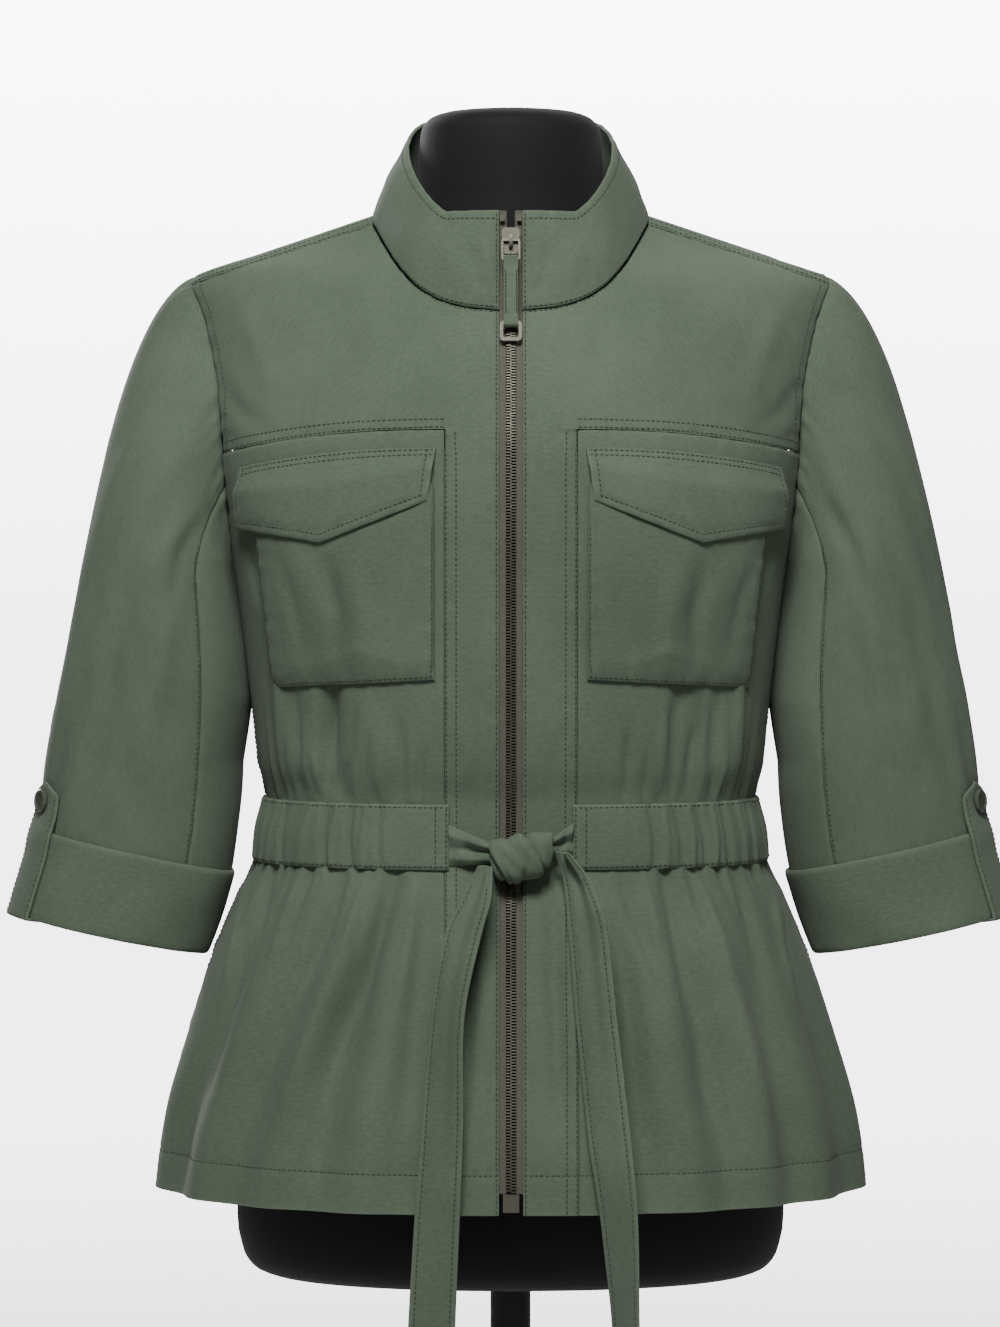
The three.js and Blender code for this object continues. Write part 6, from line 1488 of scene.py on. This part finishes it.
# Tie: hanging tails, a strand from each casing end and the knot that holds them.
# The tails hang clear of the skirt's folds, and turn a little edge on as they fall.
TAIL_END = 705
TAILS = {
    # z, middle x, width that shows from the front, stand off the skirt
    "right": [(1026, -16.5, 9, 12), (1008, -21.5, 17, 9), (985, -30, 22.5, 6), (932, -39, 20, 5),
              (868, -42.5, 24.4, 5), (804, -46.6, 27, 5), (747, -49, 28.5, 5),
              (TAIL_END, -50.5, 28.8, 5)],
    "left": [(1034, 31.5, 9, 12), (1014, 41.5, 18, 8), (985, 47.4, 24, 6), (932, 52, 24.8, 5),
             (868, 58.9, 24.8, 5), (804, 66.3, 20, 7), (747, 69, 15.5, 8), (TAIL_END, 70, 15, 8)],
}
TIE_WIDTH = 29.0


def smooth_line(values, reach):
    kernel = np.hanning(2 * reach + 1)
    kernel /= kernel.sum()
    padded = np.pad(values, reach, mode="edge")
    return np.convolve(padded, kernel, "valid")


for side, sign in SIDES:
    rows_down = np.array(TAILS[side][::-1], float)
    top = TAILS[side][0][0]
    z = spaced(top, TAIL_END, 2.4, (False, True))
    x = along(rows_down[:, 0], rows_down[:, 1], z)
    shows = along(rows_down[:, 0], rows_down[:, 2], z)
    stand = along(rows_down[:, 0], rows_down[:, 3], z) + 1.2
    width = np.where(z > 1000, np.maximum(shows, 14 + (TIE_WIDTH - 14) * (top - z) / (top - 1000)),
                     TIE_WIDTH)
    yaw = np.arccos(np.minimum(1, shows / width))
    half_vec = np.stack([np.cos(yaw), -np.sin(yaw), 0 * yaw], -1) * (width / 2)[:, None]
    column = np.array([-1, -0.94, -0.86, *np.linspace(-0.76, 0.76, 13), 0.86, 0.94, 1])
    rest_z = np.maximum(z, 830)[:, None] + 0 * column
    probe = on_body(x[:, None] + half_vec[:, :1] * column, rest_z, 0 * column + stand[:, None])
    front = smooth_line((probe[..., 1] - half_vec[:, 1:2] * column).min(1), 6)
    face = np.stack([-np.sin(yaw), -np.cos(yaw), 0 * yaw], -1)
    centre = np.stack([x, front, z], -1)
    grid = centre[:, None] + half_vec[:, None] * column[None, :, None]
    fall = (top - z)[:, None]
    fold_line = -0.15 + 0.25 * np.sin(fall / 90)
    out = (
        -2.6 * np.exp(-(((column - fold_line) / 0.3) ** 2)) * np.exp(-fall / 70)
        + 1.5 * np.exp(-(((column - 0.55) / 0.25) ** 2)) * np.exp(-fall / 55)
        + 0.9 * np.sin(fall / 37 + 1.3 * sign) * (0.4 + 0.6 * column**2) * np.clip(fall / 80, 0, 1)
        - 0.5 * np.exp(-(((1 - np.abs(column)) * 14 - 3.4) / 1.4) ** 2)
        + 1.0 * np.sin(fall / 61 + column * 1.1) * np.clip(fall / 60, 0, 1)
        + turned_edge((1 - np.abs(column)) * 14 + 0 * fall, 0.4)
    )
    guide = face[:, None] + 0 * grid
    grid = grid + guide * out[..., None]
    cloth(f"tie_tail_{side}", grid, guide, 1.6, TWILL,
          worn=0.3 * np.exp(-(1 - np.abs(column)) * 14 / 1.4) + 0 * fall)
    sew(f"tie_tail_{side}", "near", 3.4, 0.04, 1)
    sew(f"tie_tail_{side}", "far", 3.4, 0.04, 1)
    sew(f"tie_tail_{side}", "high", 6.0)

STRANDS = {
    # start x, z and half height at the casing's end, then at the knot
    "right": (-38.15, 1037.5, 13, -12.5, 1033.5, 6.5), "left": (38.15, 1041, 10.5, 25.5, 1038, 5.5),
}
for side, sign in SIDES:
    x0, z0, high0, x1, z1, high1 = STRANDS[side]
    t = np.linspace(0, 1, 34)
    column = np.linspace(-1, 1, 25)
    x = x0 + (x1 - x0) * t
    middle = z0 + (z1 - z0) * t
    high = high0 + (high1 - high0) * t
    lift = 4.2 + (12.0 - 4.2) * t**1.3
    zz = middle[:, None] + high[:, None] * column
    level = 0 * column
    base = on_body(x[:, None] + level, middle[:, None] + level, lift[:, None] + level)
    grid = base.copy()
    grid[..., 2] = zz
    tt = t[:, None]
    pleat = (
        -3.4 * np.exp(-(((column + 0.12 - 0.2 * tt) / 0.2) ** 2)) * (0.35 + 0.65 * tt)
        + 1.6 * np.exp(-(((column - 0.52) / 0.22) ** 2))
        + 1.2 * np.exp(-(((column + 0.62) / 0.2) ** 2))
        - 1.6 * column**6 + 0.5 * np.sin(tt * 9 + column * 3)
    )
    guide = np.zeros_like(grid)
    guide[..., 1] = -1
    grid = grid + guide * pleat[..., None]
    cloth(f"tie_strand_{side}", grid, guide, 1.5, TWILL)

KNOT = np.array([
    # x, top and bottom z, depth
    (-13.5, 1039, 1028, 9), (-12.6, 1040.6, 1025, 12), (-10, 1042, 1019, 17),
    (-1, 1044, 1014.5, 22), (10, 1046, 1016.5, 22), (20, 1047, 1021, 18),
    (24.6, 1046.6, 1026, 12), (26, 1046, 1029, 9),
])
knot_x = spaced(-13.4, 25.9, 0.75, (True, True))
knot_angle = np.linspace(0, 2 * np.pi, 91)
knot_y = on_body(np.array(0.0), np.array(1031.0), 12.5)[1]
k_x, k_a = np.meshgrid(knot_x, knot_angle, indexing="ij")
k_top, k_low, k_deep = (along(KNOT[:, 0], KNOT[:, k], k_x) for k in (1, 2, 3))
k_cos, k_sin = np.cos(k_a), np.sin(k_a)
power = 0.85
grid = np.stack([
    k_x,
    knot_y + k_deep / 2 * np.sign(k_cos) * np.abs(k_cos) ** power,
    (k_top + k_low) / 2 + (k_top - k_low) / 2 * np.sign(k_sin) * np.abs(k_sin) ** power], -1)
guide = grid - np.array([6, knot_y, 1031])
guide[..., 0] *= 0.3
slant = k_x + 0.55 * (grid[..., 2] - 1031)
low_share = np.clip((1036 - grid[..., 2]) / 14, 0, 1)
wraps = (
    -2.3 * np.exp(-(((slant + 12.5) / 1.4) ** 2)) + 0.9 * np.exp(-(((slant + 8) / 3.5) ** 2))
    - 2.4 * np.exp(-(((slant - 17.5) / 1.6) ** 2)) + 1.0 * np.exp(-(((slant - 12.5) / 3.5) ** 2))
    - 1.5 * np.exp(-(((k_x - 8.5 - 0.2 * (grid[..., 2] - 1020)) / 1.5) ** 2)) * low_share
    - 1.1 * np.exp(-(((k_x + 1.5 + 0.5 * (grid[..., 2] - 1020)) / 1.4) ** 2)) * low_share
    - 0.9 * np.exp(-(((slant - 4.5) / 1.6) ** 2)) * (1 - low_share)
    + 0.35 * np.sin(k_x * 0.45 + grid[..., 2] * 0.5)
)
grid = grid + unit(guide) * wraps[..., None]
cloth("tie_knot", grid, guide, 1.6, TWILL,
      wrap=True)

# Pull strap: a stitched cloth tab between the slider's loop and the end ring.
# It rides with the pull, and is worked out along and across the pull's own line.
pivot = np.array(frame["joints"][0]["pos_m"]) * 1000
pull_up = unit(np.array([0, 0.23616, 0.97171]))
pull_out = np.array([0, -0.97171, 0.23616])
STRAP_HALF = 4.4


def strap_path():
    """Closed line round both bars: straight faces 1.15 mm out and a round eye at each end."""
    top_eye, low_eye = 2.45, 3.0
    high_y, low_y = -12.25, -54.1
    line = [(high_y + top_eye * math.sin(a), top_eye * math.cos(a)) for a in
            np.linspace(0.42, math.pi - 0.42, 14)]
    line += [(y, -1.12) for y in np.linspace(high_y - 3, low_y + 4, 26)]
    line += [(low_y - low_eye * math.sin(a), -low_eye * math.cos(a)) for a in
             np.linspace(0.42, math.pi - 0.42, 16)]
    line += [(y, 1.12) for y in np.linspace(low_y + 4, high_y - 3, 26)]
    line.append(line[0])
    return np.array(line)


strap_line = strap_path()
across = np.array([-1, -0.93, -0.8, -0.5, -0.2, 0.1, 0.4, 0.7, 0.85, 0.93, 1]) * STRAP_HALF
grid = (
    pivot + strap_line[None, :, 0, None] * pull_up + strap_line[None, :, 1, None] * pull_out
    + across[:, None, None] * np.array([1, 0, 0])
)
line_s = lengths(grid, 1)
middle_line = pivot + strap_line[None, :, 0, None] * pull_up
guide = grid - middle_line
guide[..., 0] = 0
swell = 0.12 * np.cos(line_s / 1.6) * (np.abs(across)[:, None] < 3.9)
cloth("zip_pull_strap", grid + unit(guide) * swell[..., None], guide, 0.5, TWILL,
      wrap=True, body="zip_pull")
for row in (2.2, 7.8):
    for first in (0, 42):
        places = np.linspace(15, 37, 40) + first
        path, facing = sample("zip_pull_strap", 0 * places + row, places)
        stitch_line(path, facing, "zip_pull", 2.4)

# Dress form: hip to neck in one smooth black shape, whole inside the jacket.
# The columns are those of the body's rings, then z, half width, front and back for the neck.
FORM_RINGS = np.array([
    (756, 158, 97, 96, 0, 2.2), (758, 163.5, 101.5, 100.5, 0, 2.2), (760, 167, 105, 104, 0, 2.2),
    (769, 173, 112, 110, 0, 2.2), (790, 177, 117, 115, 0, 2.2), (830, 177, 119, 117, 0, 2.2),
    (880, 172, 117, 113, 0, 2.2), (930, 161, 110, 105, 0, 2.2), (980, 147, 101, 96, 0, 2.25),
    (1042, 139, 96, 87, 0, 2.3), (1100, 147, 103, 90, 1, 2.3), (1170, 158, 111, 94, 2, 2.3),
    (1228, 166, 116, 97, 2, 2.3), (1281, 173, 112, 98, 3, 2.3), (1317, 179, 103, 98, 4, 2.3),
    (1354, 185, 87, 93, 5, 2.2), (1373, 188, 75, 87, 5, 2.1), (1390, 189, 61, 81, 5, 2),
    (1400, 184, 51, 73, 5, 1.85), (1410, 155, 40, 66, 5, 1.65), (1421, 116, 29, 56, 5, 1.55),
    (1426, 96, 21, 46, 5, 1.7),
])
NECK_RINGS = np.array([
    (1392, 60, 56, 60), (1425, 66, 60, 64), (1450, 61, 58, 61), (1480, 59, 57, 59),
    (1492, 57.5, 55.5, 57.5), (1499, 53, 51, 53), (1503, 44, 42, 44), (1504.6, 32, 30, 32),
    (1505.2, 18, 17, 18), (1505.3, 1, 1, 1),
])


def form_rings(table, heights, mid, power):
    angle = np.linspace(0, 2 * np.pi, 101)
    z = heights[:, None] + 0 * angle
    half_wide, front, back = (along(table[:, 0], table[:, k], z) for k in (1, 2, 3))
    across, ahead = np.sin(angle) + 0 * z, np.cos(angle) + 0 * z
    depth = np.where(ahead > 0, -front, back)
    return np.stack([
        np.sign(across) * half_wide * np.abs(across) ** (2 / power),
        mid + depth * np.abs(ahead) ** (2 / power), z], -1)


torso_z = np.concatenate([
    [756, 756.6, 757.5, 759, 761, 764, 768], np.arange(773, 1426, 9.5), [1426]])
torso_mid = along(FORM_RINGS[:, 0], FORM_RINGS[:, 4], torso_z)[:, None]
torso_power = along(FORM_RINGS[:, 0], FORM_RINGS[:, 5], torso_z)[:, None]
torso = form_rings(FORM_RINGS, torso_z, torso_mid, torso_power)
underside = torso[:1] * np.linspace(0, 1, 12)[:-1, None, None] ** np.array([1, 1, 0])
underside[..., 2] = 756
shoulder_lid = torso[-1:].copy()
lid = np.concatenate([
    np.concatenate([shoulder_lid[..., :2] * k, shoulder_lid[..., 2:]], -1) for k in (0.75, 0.5)])
torso = np.concatenate([underside, torso, lid])
neck_z_places = np.concatenate([np.arange(1392, 1490, 4.0), np.arange(1490, 1503, 1.2),
                                [1503.4, 1504, 1504.6, 1504.9, 1505.2, 1505.3]])
neck = form_rings(NECK_RINGS, neck_z_places, 4, 2.0)
points, quads, total = [], [], 0
for part in (torso, neck):
    rows_count, columns_count = part.shape[:2]
    points.append(part.reshape(-1, 3))
    quads.append(grid_faces(rows_count, columns_count, total, False))
    total += rows_count * columns_count
form_points = np.concatenate(points)
form_cut = np.stack([np.arctan2(form_points[:, 0], -form_points[:, 1]) * 150,
                     form_points[:, 2]], -1)
form_mesh = mesh_from("form_cover", form_points, np.concatenate(quads), form_cut)
form_mesh.materials.append(FORM_CLOTH)
form = bpy.data.objects.new("form_cover", form_mesh)
bpy.context.scene.collection.objects.link(form)
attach(form, "jacket_and_form")
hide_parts("form_body")

# Thread: all the stitches of one body in one mesh, a shade darker than the cloth.
# The stitches were collected above, piece by piece, as each was sewn.
for body in sorted(stitch_points):
    points = np.concatenate(stitch_points[body])
    mesh = mesh_from(f"{body}_stitches", points, np.concatenate(stitch_quads[body]), points[:, :2])
    mesh.materials.append(THREAD)
    thread = bpy.data.objects.new(f"{body}_stitches", mesh)
    bpy.context.scene.collection.objects.link(thread)
    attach(thread, body)

# Hard pieces: the CAD's own buttons, zip fittings, pole and base, with softened edges.
# The second value is the bevel in millimetres.
HARD = {
    "zip_bottom_box": (ZIP_METAL, 0.5), "zip_top_stop_left": (ZIP_METAL, 0.4),
    "zip_top_stop_right": (ZIP_METAL, 0.4), "zip_slider": (ZIP_METAL, 0.3),
    "zip_pull_tab": (ZIP_METAL, 0.3), "zip_pull_ring": (ZIP_METAL, 0.45),
    "tab_button_left": (BUTTON_HORN, 0.25), "tab_button_right": (BUTTON_HORN, 0.25),
    "stand_pole": (STAND_METAL, 0.4), "stand_base": (STAND_METAL, 0.6),
}
for node, (paint, bevel) in HARD.items():
    part = frame["nodes"][node]
    part.data.materials.clear()
    part.data.materials.append(paint)
    part.data.shade_smooth()
    part.data.set_sharp_from_angle(angle=math.radians(28))
    softened = part.modifiers.new("softened", "BEVEL")
    softened.width = bevel / 1000
    softened.segments = 2
    softened.limit_method = "ANGLE"
    softened.angle_limit = math.radians(28)
